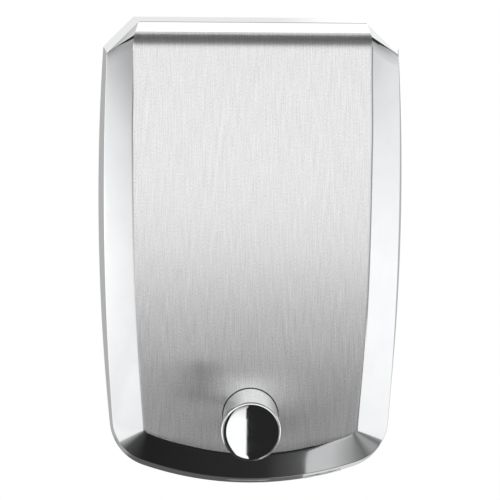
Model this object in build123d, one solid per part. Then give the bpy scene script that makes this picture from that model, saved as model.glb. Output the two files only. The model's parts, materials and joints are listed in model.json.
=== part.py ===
from build123d import *
import math
import os

# Frame: X to the right, Y into the wall, Z up. The wall face is y = 0 and the front looks along -Y.
# All sizes are in millimetres.

# Cover, seen from the front
rim_top = 95.0
rim_bottom = -95.0
rim_half_width = 61.9
rim_widest_z = 28.0
rim_side_radius = 930.0
rim_bottom_radius = 135.0
rim_corner_radius = 20.0
rim_chamfer = 12.2
# The bevel starts on this smaller outline
edge_top = 88.3
edge_bottom = -89.1
edge_half_width = 57.6
edge_side_radius = 1150.0
edge_bottom_radius = 129.0
edge_corner_radius = 17.0
edge_chamfer = 12.4
# The bevel faces run on to this outline, ahead of the crown of the panel
nose_top = 65.5
nose_bottom = -78.0
nose_half_width = 42.0
nose_widest_z = -30.0
nose_side_radius = 350.0
nose_bottom_radius = 99.0
nose_corner_radius = 1.0
panel_corner_x = 45.6
panel_corner_z = 81.0
top_roll_radius = 10.0

# Cover, seen from the side
rim_gap = 3.0
crown_depth = 80.0
bevel_rise = 13.8
edge_depth = crown_depth - bevel_rise
edge_lean = 0.045
nose_ahead = 3.6
nose_lean = 0.187
crown_z = 40.0
crown_radius = 600.0
sheet = 1.0
bend_share = 0.41

# Fits between pieces
run_fit = 0.06
slide_gap = 0.3
rest_gap = 0.3
side_gap = 0.5

# Cuts: past the face that they open, through a sheet wall, and across the whole part
cut_past = 1.0
cut_through = 6.0
cut_span = rim_top - rim_bottom

# Push button and the pump behind it, on one tilted line; lengths run inward from the panel
pump_z = -64.0
stroke = 8.0
stroke_room = 1.6
button_head_radius = 11.4
button_head_front = 28.0
button_head_length = 3.0
button_radius = 10.7
button_edge = 0.8
button_wall = 1.3
button_face = 2.2
button_tail = 6.6
cover_hole_gap = 0.45
bush_length = 4.5
bush_radius = 14.0
bush_flange_radius = 20.5
bush_flange = 2.0
stud_radius = 1.5
stud_reach = 17.4
stud_past_nut = 0.6
nut_height = 2.2
nut_corner_radius = 2.9
ring_height = 1.2
ring_width = 1.7
plunger_radius = 9.0
plunger_wall = 1.3
plunger_floor = 2.0
plunger_length = 5.7
rod_radius = 3.0
rod_seal_radius = 5.0
rod_seal_length = 1.6
spring_mean_radius = 5.6
spring_wire = 0.9
spring_turns = 4
barrel_radius = 10.0
bore_radius = 6.5
spigot_radius = 4.4
spigot_length = 4.4
barrel_front_wall = 2.6
piston_length = 4.0
piston_neck_radius = 2.0
piston_land = 1.1
piston_groove = 2.0
screw_head_length = 1.0
screw_head_radius = 3.6
screw_socket_radius = 1.2
screw_socket_floor = 0.4
valve_disc_height = 0.8
valve_disc_radius = 5.4
valve_stem_radius = 1.2
valve_bulb_length = 1.4
valve_bulb_lip = 0.8
port_count = 6
port_ring_radius = 3.4
port_radius = 1.1
barrel_rear_wall = 2.0
flange_radius = 14.0
flange_length = 2.5
gasket_height = 1.0
neck_radius = 14.6
tail_radius = 8.8
tail_length = 9.5
tail_wall = 2.2
tail_room = 3.0
pump_nut_wall = 2.6
pump_nut_lip = 1.6
pump_nut_grip = 4.0
grip_count = 12
grip_radius = 1.3
grip_rise = 0.5
outlet_back = 3.4
outlet_boss = 4.0

# Spout
spout_radius = 4.2
spout_bore = 2.4
spout_tip_z = -88.6
spout_collar_radius = 5.2
spout_collar = 3.0
spout_seal_height = 1.2
outlet_valve_radius = 3.3
outlet_valve_depth = 4.0
outlet_valve_rim = 1.2
beak_width = 4.4
beak_tip_height = 1.0
beak_recess = 0.4
beak_bore_radius = 1.8
beak_bore_depth = 2.0
drip_hole_radius = 9.0

# Tank
tank_gap = 4.0
tank_wall = 2.0
tank_back = 8.0
tank_top = 54.0
tank_bottom = -66.0
recess_half_width = 22.0
recess_top = -36.0
recess_depth_y = -18.4
fill_y = -38.0
fill_radius = 10.0
fill_lip = 1.6
fill_lip_height = 3.2
cap_radius = 12.6
cap_height = 2.6
cap_seal_height = 0.8
cap_seal_inset = 1.0
cap_vent_radius = 0.8
cap_pin_radius = 1.0
cap_hinge_rise = 5.0
cap_hinge_space = 3.6
cap_tab = 1.6
cap_tab_half = 4.0
cap_knuckle_radius = 2.4
cap_knuckle_half = 4.0
cap_ear = 2.2

# Wall plate and what stands on it
plate = 1.5
plate_inset = 4.5
plate_top = 80.0
screw_edge = 11.4
screw_x = rim_half_width - plate_inset - screw_edge
screw_z = 62.0
screw_hole_radius = 2.75
hinge_y = -12.0
hinge_z = 88.0
pin_radius = 1.5
pin_half_length = 37.0
pin_head = 1.2
pin_head_radius = 2.5
clip_thick = 0.8
clip_radius = 2.9
arm_x = 27.0
arm_thick = 2.5
arm_eye_radius = 3.3
arm_leg_back = 2.0
arm_tank_gap = 1.5
arm_over_tank = 3.0
arm_slope = 4.0
knuckle_length = 6.0
leaf_thick = 1.2
leaf_front = -17.5
foot_low = 48.0
foot_high = 72.0
foot_width = 13.0
rivet_radius = 1.5
rivet_head_radius = 2.8
rivet_head = 1.2
rivet_edge = 5.0
hook_half_width = 24.0
hook_low = 18.0
hook_high = 34.0
hook_lip = 6.0
hook_tank_gap = 1.6
lug_inset = 2.0
lug_width = 12.0
lug_thick = 2.2
lug_lead = 1.0
low_lug_rise = 8.0
low_lug_thick = 3.0

# Lock
lock_x = 30.0
lock_y = -16.0
lock_flange_radius = 7.6
lock_flange = 0.25
lock_body_radius = 5.5
lock_body_length = 7.0
lock_plug_radius = 3.9
lock_nut_radius = 7.8
lock_nut_height = 2.4
lock_nut_lift = 0.4
plug_inset = 0.3
plug_past = 0.2
key_slot_width = 5.0
key_slot_height = 1.2
key_slot_depth = 4.0
cam_length = 12.5
cam_half_width = 3.6
cam_thick = 1.5
cam_screw_radius = 1.5
cam_screw_depth = 3.5
cam_screw_room = 0.5
cam_screw_head = 1.2
cam_screw_head_radius = 2.7
strike_offset = 4.0
strike_width = 8.0
strike_tank_gap = 5.6
strike_low = -81.5
strike_reach = 20.0
strike_tab = 14.0

CENTRE_UP = (Align.CENTER, Align.CENTER, Align.MIN)
# A chamfer at 45 degrees gets shorter by this share of an inset
CHAMFER_SHARE = 2 - math.sqrt(2)


def rod(frame, start, end, radius):
    """Solid round bar along the frame's own Z, from start to end."""
    return frame * Pos(0, 0, start) * Cylinder(radius, end - start, align=CENTRE_UP)


def ring(frame, start, end, outer, inner):
    """Round sleeve along the frame's own Z."""
    return rod(frame, start, end, outer) - rod(frame, start - cut_past, end + cut_past, inner)


def hexagon(frame, start, end, across_corners, bore):
    """Hexagon nut along the frame's own Z."""
    body = extrude(Pos(0, 0, start) * RegularPolygon(across_corners, 6), end - start)
    return frame * body - rod(frame, start - cut_past, end + cut_past, bore)


def block(x0, x1, y0, y1, z0, z1):
    """Box between two corners."""
    centre = Pos((x0 + x1) / 2, (y0 + y1) / 2, (z0 + z1) / 2)
    return centre * Box(abs(x1 - x0), abs(y1 - y0), abs(z1 - z0))


def mirrored(spot):
    """The spot of an outline on its other side."""
    return (-spot[0], spot[1])


def outline(half_width, widest_z, side_radius, top, bottom, bottom_radius, corner_radius, chamfer):
    """Front outline: flat top, optional top chamfers, bowed sides, round bottom corners, arched bottom."""
    side_x = half_width - side_radius
    arch_z = bottom + bottom_radius
    side_reach = side_radius - corner_radius
    arch_reach = bottom_radius - corner_radius
    span_x = -side_x
    span_z = arch_z - widest_z
    span = math.hypot(span_x, span_z)
    along = (side_reach**2 - arch_reach**2 + span**2) / (2 * span)
    across = math.sqrt(side_reach**2 - along**2)
    corner_x = side_x + (along * span_x + across * span_z) / span
    corner_z = widest_z + (along * span_z - across * span_x) / span
    side_end_x = side_x + (corner_x - side_x) * side_radius / side_reach
    side_end_z = widest_z + (corner_z - widest_z) * side_radius / side_reach
    arch_end_x = corner_x * bottom_radius / arch_reach
    arch_end_z = arch_z + (corner_z - arch_z) * bottom_radius / arch_reach
    side_top_z = top - chamfer
    side_top_x = side_x + math.sqrt(side_radius**2 - (side_top_z - widest_z) ** 2)
    side_mid_z = (side_top_z + side_end_z) / 2
    side_mid_x = side_x + math.sqrt(side_radius**2 - (side_mid_z - widest_z) ** 2)
    turn_x = (side_end_x + arch_end_x) / 2 - corner_x
    turn_z = (side_end_z + arch_end_z) / 2 - corner_z
    turn = math.hypot(turn_x, turn_z)
    corner_mid_x = corner_x + turn_x * corner_radius / turn
    corner_mid_z = corner_z + turn_z * corner_radius / turn
    flat_end = (side_top_x - chamfer, top)
    side_top = (side_top_x, side_top_z)
    side_mid = (side_mid_x, side_mid_z)
    side_end = (side_end_x, side_end_z)
    corner_mid = (corner_mid_x, corner_mid_z)
    arch_end = (arch_end_x, arch_end_z)
    lines = [Line(mirrored(flat_end), flat_end)]
    if chamfer > 0:
        lines.append(Line(flat_end, side_top))
    lines.append(ThreePointArc(side_top, side_mid, side_end))
    lines.append(ThreePointArc(side_end, corner_mid, arch_end))
    lines.append(ThreePointArc(arch_end, (0, bottom), mirrored(arch_end)))
    lines.append(ThreePointArc(mirrored(arch_end), mirrored(corner_mid), mirrored(side_end)))
    lines.append(ThreePointArc(mirrored(side_end), mirrored(side_mid), mirrored(side_top)))
    if chamfer > 0:
        lines.append(Line(mirrored(side_top), mirrored(flat_end)))
    return make_face(lines)


def rim_outline(inset):
    """Outline of the cover's rear edge, moved in by the inset."""
    return outline(
        rim_half_width - inset,
        rim_widest_z,
        rim_side_radius - inset,
        rim_top - inset,
        rim_bottom + inset,
        rim_bottom_radius - inset,
        rim_corner_radius - inset,
        rim_chamfer - CHAMFER_SHARE * inset,
    )


def edge_outline(inset, chamfer):
    """Outline where the side walls turn into the bevel, moved in by the inset."""
    return outline(
        edge_half_width - inset,
        rim_widest_z,
        edge_side_radius - inset,
        edge_top - inset,
        edge_bottom + inset,
        edge_bottom_radius - inset,
        edge_corner_radius - inset,
        chamfer,
    )


def nose_outline(inset):
    """Outline that the bevel faces would reach ahead of the panel."""
    return outline(
        nose_half_width - inset,
        nose_widest_z,
        nose_side_radius - inset,
        nose_top - inset,
        nose_bottom + inset,
        nose_bottom_radius - inset,
        nose_corner_radius,
        0,
    )


def front_plane(depth, lean):
    """Plane facing the front at this depth, with its top leaning forward."""
    size = math.hypot(1, lean)
    return Plane((0, -depth, 0), (1, 0, 0), (0, -1 / size, -lean / size))


def panel_y(z):
    """Front face of the bowed panel at this height."""
    return crown_radius - crown_depth - math.sqrt(crown_radius**2 - (z - crown_z) ** 2)


def corner_cutter(inset, side):
    """Block that cuts the bevel face under one top chamfer."""
    edge_side_x = edge_half_width - edge_side_radius
    low_z = edge_top - edge_chamfer
    low_x = edge_side_x + math.sqrt(edge_side_radius**2 - (low_z - rim_widest_z) ** 2)
    high = Vector(side * (low_x - edge_chamfer), -edge_depth - edge_lean * edge_top, edge_top)
    low = Vector(side * low_x, -edge_depth - edge_lean * low_z, low_z)
    tip = Vector(side * panel_corner_x, panel_y(panel_corner_z), panel_corner_z)
    normal = (low - high).cross(tip - high).normalized()
    if normal.Z < 0:
        normal = normal * -1
    face = Plane(high - normal * inset, low - high, normal)
    return face * Box(cut_span, cut_span, cut_span, align=CENTRE_UP)


def envelope(inset):
    """Filled form of the cover with every face moved in by the inset, running on behind the rim."""
    rim_plane = Plane((0, -rim_gap, 0), (1, 0, 0), (0, -1, 0))
    rim = rim_plane * rim_outline(inset)
    shift = bend_share * inset
    chamfer = edge_chamfer - CHAMFER_SHARE * inset
    edge = front_plane(edge_depth - shift, edge_lean) * edge_outline(inset, chamfer)
    square_edge = front_plane(edge_depth - shift, edge_lean) * edge_outline(inset, 0)
    nose = front_plane(crown_depth + nose_ahead - shift, nose_lean) * nose_outline(inset)
    walls = loft([rim, edge], ruled=True)
    bevel = loft([square_edge, nose], ruled=True)
    bevel -= corner_cutter(inset, 1)
    bevel -= corner_cutter(inset, -1)
    bow_radius = crown_radius - inset
    bow = Pos(0, crown_radius - crown_depth, crown_z) * Rot(0, 90, 0) * Cylinder(bow_radius, 2 * cut_span)
    bevel = bevel & bow
    return walls + bevel


def opened(inset):
    """The envelope with its rear carried straight back past the rim."""
    rim_plane = Plane((0, -rim_gap, 0), (1, 0, 0), (0, -1, 0))
    return envelope(inset) + extrude(rim_plane * rim_outline(inset), -4 * rim_gap)


def biarc(start, start_way, end, end_way):
    """Two arcs that leave start along start_way and reach end along end_way."""
    span = end - start
    a = 2 * (start_way.dot(end_way) - 1)
    b = -2 * span.dot(start_way + end_way)
    c = span.dot(span)
    reach = (-b - math.sqrt(b * b - 4 * a * c)) / (2 * a)
    joint = (start + start_way * reach + end - end_way * reach) * 0.5
    joint_way = (end - end_way * reach - start - start_way * reach).normalized()
    return [
        Edge.make_tangent_arc(start, start_way, joint),
        Edge.make_tangent_arc(joint, joint_way, end),
    ]


def coil(frame, start, end, mean_radius, wire, turns):
    """Open compression spring between two flat seats along the frame's own Z."""
    first = start + wire / 2
    rise = end - start - wire
    steps = 4 * turns
    spots = []
    ways = []
    for step in range(steps + 1):
        angle = 2 * math.pi * turns * step / steps
        x = mean_radius * math.cos(angle)
        y = mean_radius * math.sin(angle)
        slope = rise / (2 * math.pi * turns)
        spots.append(Vector(x, y, first + rise * step / steps))
        ways.append(Vector(-y, x, slope).normalized())
    edges = []
    for step in range(steps):
        edges += biarc(spots[step], ways[step], spots[step + 1], ways[step + 1])
    path = Wire(edges)
    section = Plane(spots[0], z_dir=ways[0]) * Circle(wire / 2)
    return frame * sweep(section, path)


def least_turn_gap(start, end, mean_radius, wire, turns):
    """Smallest space between turns of the coil, measured on points along it."""
    first = start + wire / 2
    rise = end - start - wire
    steps_per_turn = 60
    count = steps_per_turn * turns
    points = []
    for step in range(count + 1):
        angle = 2 * math.pi * turns * step / count
        x = mean_radius * math.cos(angle)
        y = mean_radius * math.sin(angle)
        points.append((x, y, first + rise * step / count))
    least = rise
    for i in range(count + 1):
        for j in range(i + steps_per_turn // 2, count + 1):
            least = min(least, math.dist(points[i], points[j]))
    return least - wire


# Pump line: its Z axis is the way the button is pressed
pump_tilt = math.degrees(math.asin((crown_z - pump_z) / crown_radius))
press_way = (0, math.cos(math.radians(pump_tilt)), math.sin(math.radians(pump_tilt)))
press = Plane((0, panel_y(pump_z), pump_z), (1, 0, 0), press_way)

# Stations along the pump line
plunger_front = button_tail + rest_gap
plunger_back = plunger_front + plunger_length
spring_front = plunger_front + plunger_floor
barrel_front = plunger_back + stroke + stroke_room
bore_front = barrel_front + barrel_front_wall
piston_front = bore_front + rest_gap
piston_back = piston_front + piston_length
bore_back = piston_back + screw_head_length + stroke + stroke_room + valve_disc_height
flange_front = bore_back + barrel_rear_wall
flange_back = flange_front + flange_length
neck_front = flange_back + gasket_height
tail_back = neck_front + tail_length
outlet_at = bore_back - outlet_back
outlet_spot = press.from_local_coords(Vector(0, 0, outlet_at))

# Cover
outer = envelope(0)
inner = envelope(sheet)
top_spot = Vector(0, panel_y(panel_corner_z), panel_corner_z)
top_edge = outer.edges().sort_by_distance(top_spot)[0]
outer = fillet(top_edge, top_roll_radius)
cover_shell = outer - opened(sheet)
button_hole = button_radius + cover_hole_gap
cover_shell -= rod(press, -cut_through, cut_through, button_hole)
drip_frame = Plane((0, outlet_spot.Y, spout_tip_z))
cover_shell -= rod(drip_frame, -cut_through, cut_through, drip_hole_radius)

# Lock frame: origin on the outside of the bottom wall, Z inward
lock_line = Axis((lock_x, lock_y, rim_bottom), (0, 0, 1))
lock_hits = sorted(outer.find_intersection_points(lock_line), key=lambda hit: hit[0].Z)
lock_spot, lock_normal = lock_hits[0]
if lock_normal.Z > 0:
    lock_normal = lock_normal * -1
lock_frame = Plane(lock_spot, Vector(1, 0, 0) - lock_normal * lock_normal.X, lock_normal * -1)
cover_shell -= rod(lock_frame, -cut_through, cut_through, lock_body_radius + slide_gap)

# Hinge leaf under the top wall, with two knuckles beside each arm
hinge_line = Plane((0, hinge_y, hinge_z), (0, 1, 0), (1, 0, 0))
leaf_half = arm_x + arm_thick + side_gap + knuckle_length
leaf_rear = hinge_y + arm_eye_radius
leaf_zone = block(-leaf_half, leaf_half, leaf_front, leaf_rear, edge_top - cut_through, rim_top)
hinge_leaf = (inner & leaf_zone) - envelope(sheet + leaf_thick)
knuckle_starts = []
for side in (-1, 1):
    inner_end = arm_x - side_gap - knuckle_length
    outer_end = arm_x + arm_thick + side_gap
    for start in (inner_end, outer_end):
        low = min(side * start, side * (start + knuckle_length))
        knuckle_starts.append(low)
for low in knuckle_starts:
    high = low + knuckle_length
    web = block(low, high, hinge_y - arm_eye_radius, hinge_y + arm_eye_radius, hinge_z, rim_top)
    knuckle = rod(hinge_line, low, high, arm_eye_radius) + (web & inner)
    hinge_leaf += knuckle
for low in knuckle_starts:
    hinge_leaf -= rod(hinge_line, low - cut_past, low + knuckle_length + cut_past, pin_radius + run_fit)

# Button bush behind the panel, with its studs and nuts
flange_back_face = sheet + bush_flange
bush_body = rod(press, -cut_through, bush_length, bush_radius)
bush_body += rod(press, -cut_through, flange_back_face, bush_flange_radius)
bush_cut = rod(press, -cut_through, bush_length + cut_past, button_radius + run_fit)
button_bush = (bush_body & inner) - bush_cut
stud_frames = [press * Pos(side * stud_reach, 0, 0) for side in (-1, 1)]
nut_back_face = flange_back_face + nut_height
stud_back = nut_back_face + stud_past_nut
bush_studs = []
bush_nuts = []
for stud_frame in stud_frames:
    frame = Plane(stud_frame)
    stud = rod(frame, -cut_through, stud_back, stud_radius) & inner
    button_bush -= rod(frame, -cut_through, stud_back, stud_radius)
    bush_studs.append(stud)
    bush_nuts.append(hexagon(frame, flange_back_face, nut_back_face, nut_corner_radius, stud_radius))

# Push button: chromed cap, core pressed into it, ring that keeps it in the bush
head_back = -button_head_front + button_head_length
button_head = rod(press, -button_head_front, head_back, button_head_radius)
head_edges = [edge for edge in button_head.edges() if edge.geom_type == GeomType.CIRCLE]
button_head = fillet(head_edges, button_edge)
push_button = button_head + rod(press, head_back - cut_past, button_tail, button_radius)
core_front = -button_head_front + button_face
core_radius = button_radius - button_wall
push_button -= rod(press, core_front, button_tail + cut_past, core_radius)
button_core = rod(press, core_front, button_tail, core_radius)
ring_front = bush_length + rest_gap
button_ring = ring(press, ring_front, ring_front + ring_height, button_radius + ring_width, button_radius)

# Pump: plunger, rod, piston, barrel
plunger_cup = rod(press, plunger_front, plunger_back, plunger_radius)
plunger_cup -= rod(press, spring_front, plunger_back + cut_past, plunger_radius - plunger_wall)
plunger = plunger_cup + rod(press, plunger_front, piston_front, rod_radius)
plunger += rod(press, plunger_front, piston_back, piston_neck_radius)
groove_front = piston_front + piston_land
groove_back = piston_back - piston_land
groove_floor = bore_radius - piston_groove
piston = ring(press, piston_front, piston_back, bore_radius - slide_gap, piston_neck_radius)
piston -= ring(press, groove_front, groove_back, bore_radius, groove_floor)
piston_seal = ring(press, groove_front, groove_back, bore_radius - run_fit, groove_floor)
screw_back = piston_back + screw_head_length
piston_screw = rod(press, piston_back, screw_back, screw_head_radius)
piston_screw -= rod(press, piston_back + screw_socket_floor, screw_back + cut_past, screw_socket_radius)

barrel = rod(press, barrel_front, flange_front, barrel_radius)
barrel += rod(press, barrel_front - spigot_length, bore_front, spigot_radius)
barrel += rod(press, flange_front, flange_back, flange_radius)
barrel += rod(press, flange_back, tail_back, tail_radius)
outlet_frame = Plane((0, outlet_spot.Y, outlet_spot.Z), (1, 0, 0), (0, 0, -1))
boss_length = barrel_radius + outlet_boss
barrel += rod(outlet_frame, 0, boss_length, spout_collar_radius)
barrel -= rod(press, bore_front, bore_back, bore_radius)
barrel -= rod(press, barrel_front - spigot_length - cut_past, bore_back, rod_radius + slide_gap)
seal_front = bore_front - rod_seal_length
barrel -= rod(press, seal_front, bore_front, rod_seal_radius)
barrel -= rod(press, flange_front, tail_back + cut_past, tail_radius - tail_wall)
barrel -= rod(outlet_frame, 0, boss_length + cut_past, spout_bore)
barrel -= rod(press, bore_back - cut_past, flange_front + cut_past, valve_stem_radius)
for turn in range(port_count):
    port = Plane(press * Rot(0, 0, 360 * turn / port_count) * Pos(port_ring_radius, 0, 0))
    barrel -= rod(port, bore_back - cut_past, flange_front + cut_past, port_radius)
rod_seal = ring(press, seal_front, bore_front, rod_seal_radius, rod_radius + run_fit)
inlet_valve = rod(press, bore_back - valve_disc_height, bore_back, valve_disc_radius)
inlet_valve += rod(press, bore_back, flange_front, valve_stem_radius)
bulb_end = flange_front + valve_bulb_length
inlet_valve += rod(press, flange_front, bulb_end, valve_stem_radius + valve_bulb_lip)
pump_gasket = ring(press, flange_back, neck_front, flange_radius, tail_radius)
return_spring = coil(press, spring_front, barrel_front, spring_mean_radius, spring_wire, spring_turns)

# Spout below the barrel's outlet, with its seal and valve
spout_frame = Plane((0, outlet_spot.Y, outlet_spot.Z - boss_length), (1, 0, 0), (0, 0, -1))
spout_end = outlet_spot.Z - boss_length - spout_tip_z
spout_seal = ring(spout_frame, 0, spout_seal_height, spout_collar_radius, spout_bore)
spout = rod(spout_frame, spout_seal_height, spout_seal_height + spout_collar, spout_collar_radius)
spout += rod(spout_frame, spout_seal_height, spout_end, spout_radius)
spout -= rod(spout_frame, 0, spout_end + cut_past, spout_bore)
valve_front = spout_end - outlet_valve_depth
spout -= rod(spout_frame, valve_front, spout_end + cut_past, outlet_valve_radius)
rim_end = valve_front + outlet_valve_rim
beak_base = spout_frame.offset(rim_end) * Rectangle(beak_width, beak_width)
beak_tip = spout_frame.offset(spout_end - beak_recess) * Rectangle(beak_width, beak_tip_height)
outlet_valve = rod(spout_frame, valve_front, rim_end, outlet_valve_radius)
outlet_valve += loft([beak_base, beak_tip], ruled=True)
outlet_valve -= rod(spout_frame, valve_front - cut_past, valve_front + beak_bore_depth, beak_bore_radius)

# Tank
tank_box = block(-cut_span, cut_span, -cut_span, -tank_back, tank_bottom, tank_top)
hollow_back = -tank_back - tank_wall
hollow_low = tank_bottom + tank_wall
hollow_top = tank_top - tank_wall
hollow_box = block(-cut_span, cut_span, -cut_span, hollow_back, hollow_low, hollow_top)
recess_low = tank_bottom - cut_past
recess = block(-recess_half_width, recess_half_width, -cut_span, recess_depth_y, recess_low, recess_top)
recess_shell = block(
    -recess_half_width - tank_wall,
    recess_half_width + tank_wall,
    -cut_span,
    recess_depth_y + tank_wall,
    recess_low,
    recess_top + tank_wall,
)
tank_outside = (envelope(tank_gap) & tank_box) - recess
tank_inside = (envelope(tank_gap + tank_wall) & hollow_box) - recess_shell
neck_root = recess_depth_y + tank_wall / 2
neck_zone = block(-neck_radius, neck_radius, -cut_span, neck_root, tank_bottom, recess_top)
tank_neck = rod(press, neck_front, tail_back + neck_radius, neck_radius) & neck_zone
tank = tank_outside - tank_inside + tank_neck
tank -= rod(press, neck_front - cut_past, tail_back + tail_room, tail_radius)
fill_frame = Plane((0, fill_y, 0))
lip_top = tank_top + fill_lip_height
tank += ring(fill_frame, hollow_top, lip_top, fill_radius + fill_lip, fill_radius)
tank -= rod(fill_frame, hollow_top - cut_past, lip_top + cut_past, fill_radius)
cap_hinge_y = fill_y + cap_radius + cap_hinge_space
cap_hinge_z = tank_top + cap_hinge_rise
cap_line = Plane((0, cap_hinge_y, cap_hinge_z), (0, 1, 0), (1, 0, 0))
cap_ear_start = cap_knuckle_half + side_gap
for side in (-1, 1):
    near = min(side * cap_ear_start, side * (cap_ear_start + cap_ear))
    ear = block(
        near,
        near + cap_ear,
        cap_hinge_y - cap_knuckle_radius,
        cap_hinge_y + cap_knuckle_radius,
        tank_top - tank_wall / 2,
        cap_hinge_z,
    )
    tank += ear + rod(cap_line, near, near + cap_ear, cap_knuckle_radius)
    tank -= rod(cap_line, near - cut_past, near + cap_ear + cut_past, cap_pin_radius)

# Hook bar on the wall plate and the tank's two lugs that hang on it
hook_front = -tank_back + hook_tank_gap
hook_shelf = hook_high - plate
hook_tip = hook_high + hook_lip
hook_bar = block(-hook_half_width, hook_half_width, -2 * plate, -plate, hook_low, hook_high)
hook_bar += block(-hook_half_width, hook_half_width, hook_front, -plate, hook_shelf, hook_high)
hook_bar += block(-hook_half_width, hook_half_width, hook_front, hook_front + plate, hook_shelf, hook_tip)
lug_rear = -2 * plate
lug_front = -tank_back - tank_wall / 2
lug_top = hook_tip + lug_thick
lug_drop = hook_front + plate + slide_gap
low_lug = tank_bottom + low_lug_rise
for side in (-1, 1):
    lug_x0 = side * (hook_half_width - lug_inset)
    lug_x1 = lug_x0 - side * lug_width
    tank += block(lug_x0, lug_x1, lug_front, lug_rear, hook_tip, lug_top)
    tank += block(lug_x0, lug_x1, lug_drop, lug_rear, hook_high + lug_lead, lug_top)
    tank += block(lug_x0, lug_x1, lug_front, -plate, low_lug, low_lug + low_lug_thick)

# Ring nut that draws the barrel's flange against the tank's neck
nut_radius = neck_radius + pump_nut_wall
nut_front = flange_front - pump_nut_lip
nut_back = neck_front + pump_nut_grip
pump_nut = ring(press, nut_front, nut_back, nut_radius, barrel_radius + slide_gap)
pump_nut -= rod(press, flange_front, neck_front, flange_radius + slide_gap)
pump_nut -= rod(press, flange_back, nut_back + cut_past, neck_radius)
for turn in range(grip_count):
    grip = Plane(press * Rot(0, 0, 360 * turn / grip_count) * Pos(nut_radius + grip_rise, 0, 0))
    pump_nut -= rod(grip, nut_front - cut_past, nut_back + cut_past, grip_radius)

# Flip cap over the fill opening
cap_bottom = lip_top + cap_seal_height
cap_top = cap_bottom + cap_height
tab_front = fill_y - cap_radius - cap_tab
tank_cap = rod(fill_frame, cap_bottom, cap_top, cap_radius)
tank_cap += block(-cap_knuckle_half, cap_knuckle_half, fill_y, cap_hinge_y, cap_bottom, cap_top)
tank_cap += rod(cap_line, -cap_knuckle_half, cap_knuckle_half, cap_knuckle_radius)
tank_cap += block(-cap_tab_half, cap_tab_half, tab_front, fill_y, cap_bottom, cap_top)
tank_cap -= rod(cap_line, -cap_ear_start, cap_ear_start, cap_pin_radius + run_fit)
tank_cap -= rod(fill_frame, cap_bottom - cut_past, cap_top + cut_past, cap_vent_radius)
cap_seal = ring(fill_frame, lip_top, cap_bottom, fill_radius + fill_lip, fill_radius - cap_seal_inset)
cap_pin_half = cap_ear_start + cap_ear
cap_hinge_pin = rod(cap_line, -cap_pin_half, cap_pin_half, cap_pin_radius)

# Wall plate with its screw holes
plate_plane = Plane((0, -plate, 0), (1, 0, 0), (0, -1, 0))
wall_plate = extrude(plate_plane * rim_outline(plate_inset), -plate)
wall_plate -= block(-cut_span, cut_span, -cut_span, cut_span, plate_top, cut_span)
for x in (-screw_x, screw_x):
    for z in (-screw_z, screw_z):
        hole_frame = Plane((x, 0, z), (1, 0, 0), (0, -1, 0))
        wall_plate -= rod(hole_frame, -cut_past, plate + cut_past, screw_hole_radius)

# Hinge arms: foot on the plate, leg that reaches over the tank, eye on the hinge line
arm_front = hinge_y - arm_eye_radius
arm_rear = hinge_y + arm_leg_back
arm_low = tank_top + arm_over_tank
leg_front = -tank_back + arm_tank_gap
arm_side = make_face(
    Polyline(
        (-plate, foot_low),
        (leg_front, foot_low),
        (leg_front, arm_low),
        (arm_front, arm_low + arm_slope),
        (arm_front, hinge_z),
        (arm_rear, hinge_z),
        (arm_rear, foot_high),
        (-plate, foot_high),
        close=True,
    )
)
hinge_arms = []
rivet_spots = []
for side in (-1, 1):
    near = min(side * arm_x, side * (arm_x + arm_thick))
    arm = extrude(Plane((near, 0, 0), (0, 1, 0), (1, 0, 0)) * arm_side, arm_thick)
    arm += rod(hinge_line, near, near + arm_thick, arm_eye_radius)
    arm -= rod(hinge_line, near - cut_past, near + arm_thick + cut_past, pin_radius)
    arm += block(side * arm_x, side * (arm_x - foot_width), -2 * plate, -plate, foot_low, foot_high)
    foot_x = side * (arm_x - foot_width / 2)
    rivet_spots.append((foot_x, foot_low + rivet_edge, len(hinge_arms)))
    rivet_spots.append((foot_x, foot_high - rivet_edge, len(hinge_arms)))
    hinge_arms.append(arm)
hinge_pin = rod(hinge_line, -pin_half_length, pin_half_length, pin_radius)
hinge_pin += rod(hinge_line, -pin_half_length - pin_head, -pin_half_length, pin_head_radius)
clip_start = leaf_half + side_gap
pin_clip = ring(hinge_line, clip_start, clip_start + clip_thick, clip_radius, pin_radius)

# Strike for the lock's arm
strike_left = lock_x + strike_offset
strike_right = strike_left + strike_width
strike_shelf_z = tank_bottom - strike_tank_gap
strike_front = -strike_reach - plate
strike_under = strike_shelf_z - plate
strike_top = strike_shelf_z + strike_tab
lock_strike = block(strike_left, strike_right, strike_front, -plate, strike_under, strike_shelf_z)
lock_strike += block(strike_left, strike_right, strike_front, -strike_reach, strike_low, strike_shelf_z)
lock_strike += block(strike_left, strike_right, -2 * plate, -plate, strike_under, strike_top)
rivet_spots.append(((strike_left + strike_right) / 2, strike_top - rivet_edge, "strike"))
for side in (-1, 1):
    rivet_spots.append((side * hook_half_width / 2, (hook_low + hook_high) / 2, "hook"))

# Rivets through the plate
plate_rivets = []
for x, z, owner in rivet_spots:
    frame = Plane((x, 0, z), (1, 0, 0), (0, -1, 0))
    shank = rod(frame, -cut_past, 2 * plate + cut_past, rivet_radius)
    wall_plate -= shank
    if owner == "strike":
        lock_strike -= shank
    elif owner == "hook":
        hook_bar -= shank
    else:
        hinge_arms[owner] -= shank
    rivet = rod(frame, 0, 2 * plate, rivet_radius)
    rivet += rod(frame, 2 * plate, 2 * plate + rivet_head, rivet_head_radius)
    plate_rivets.append(rivet)

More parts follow.
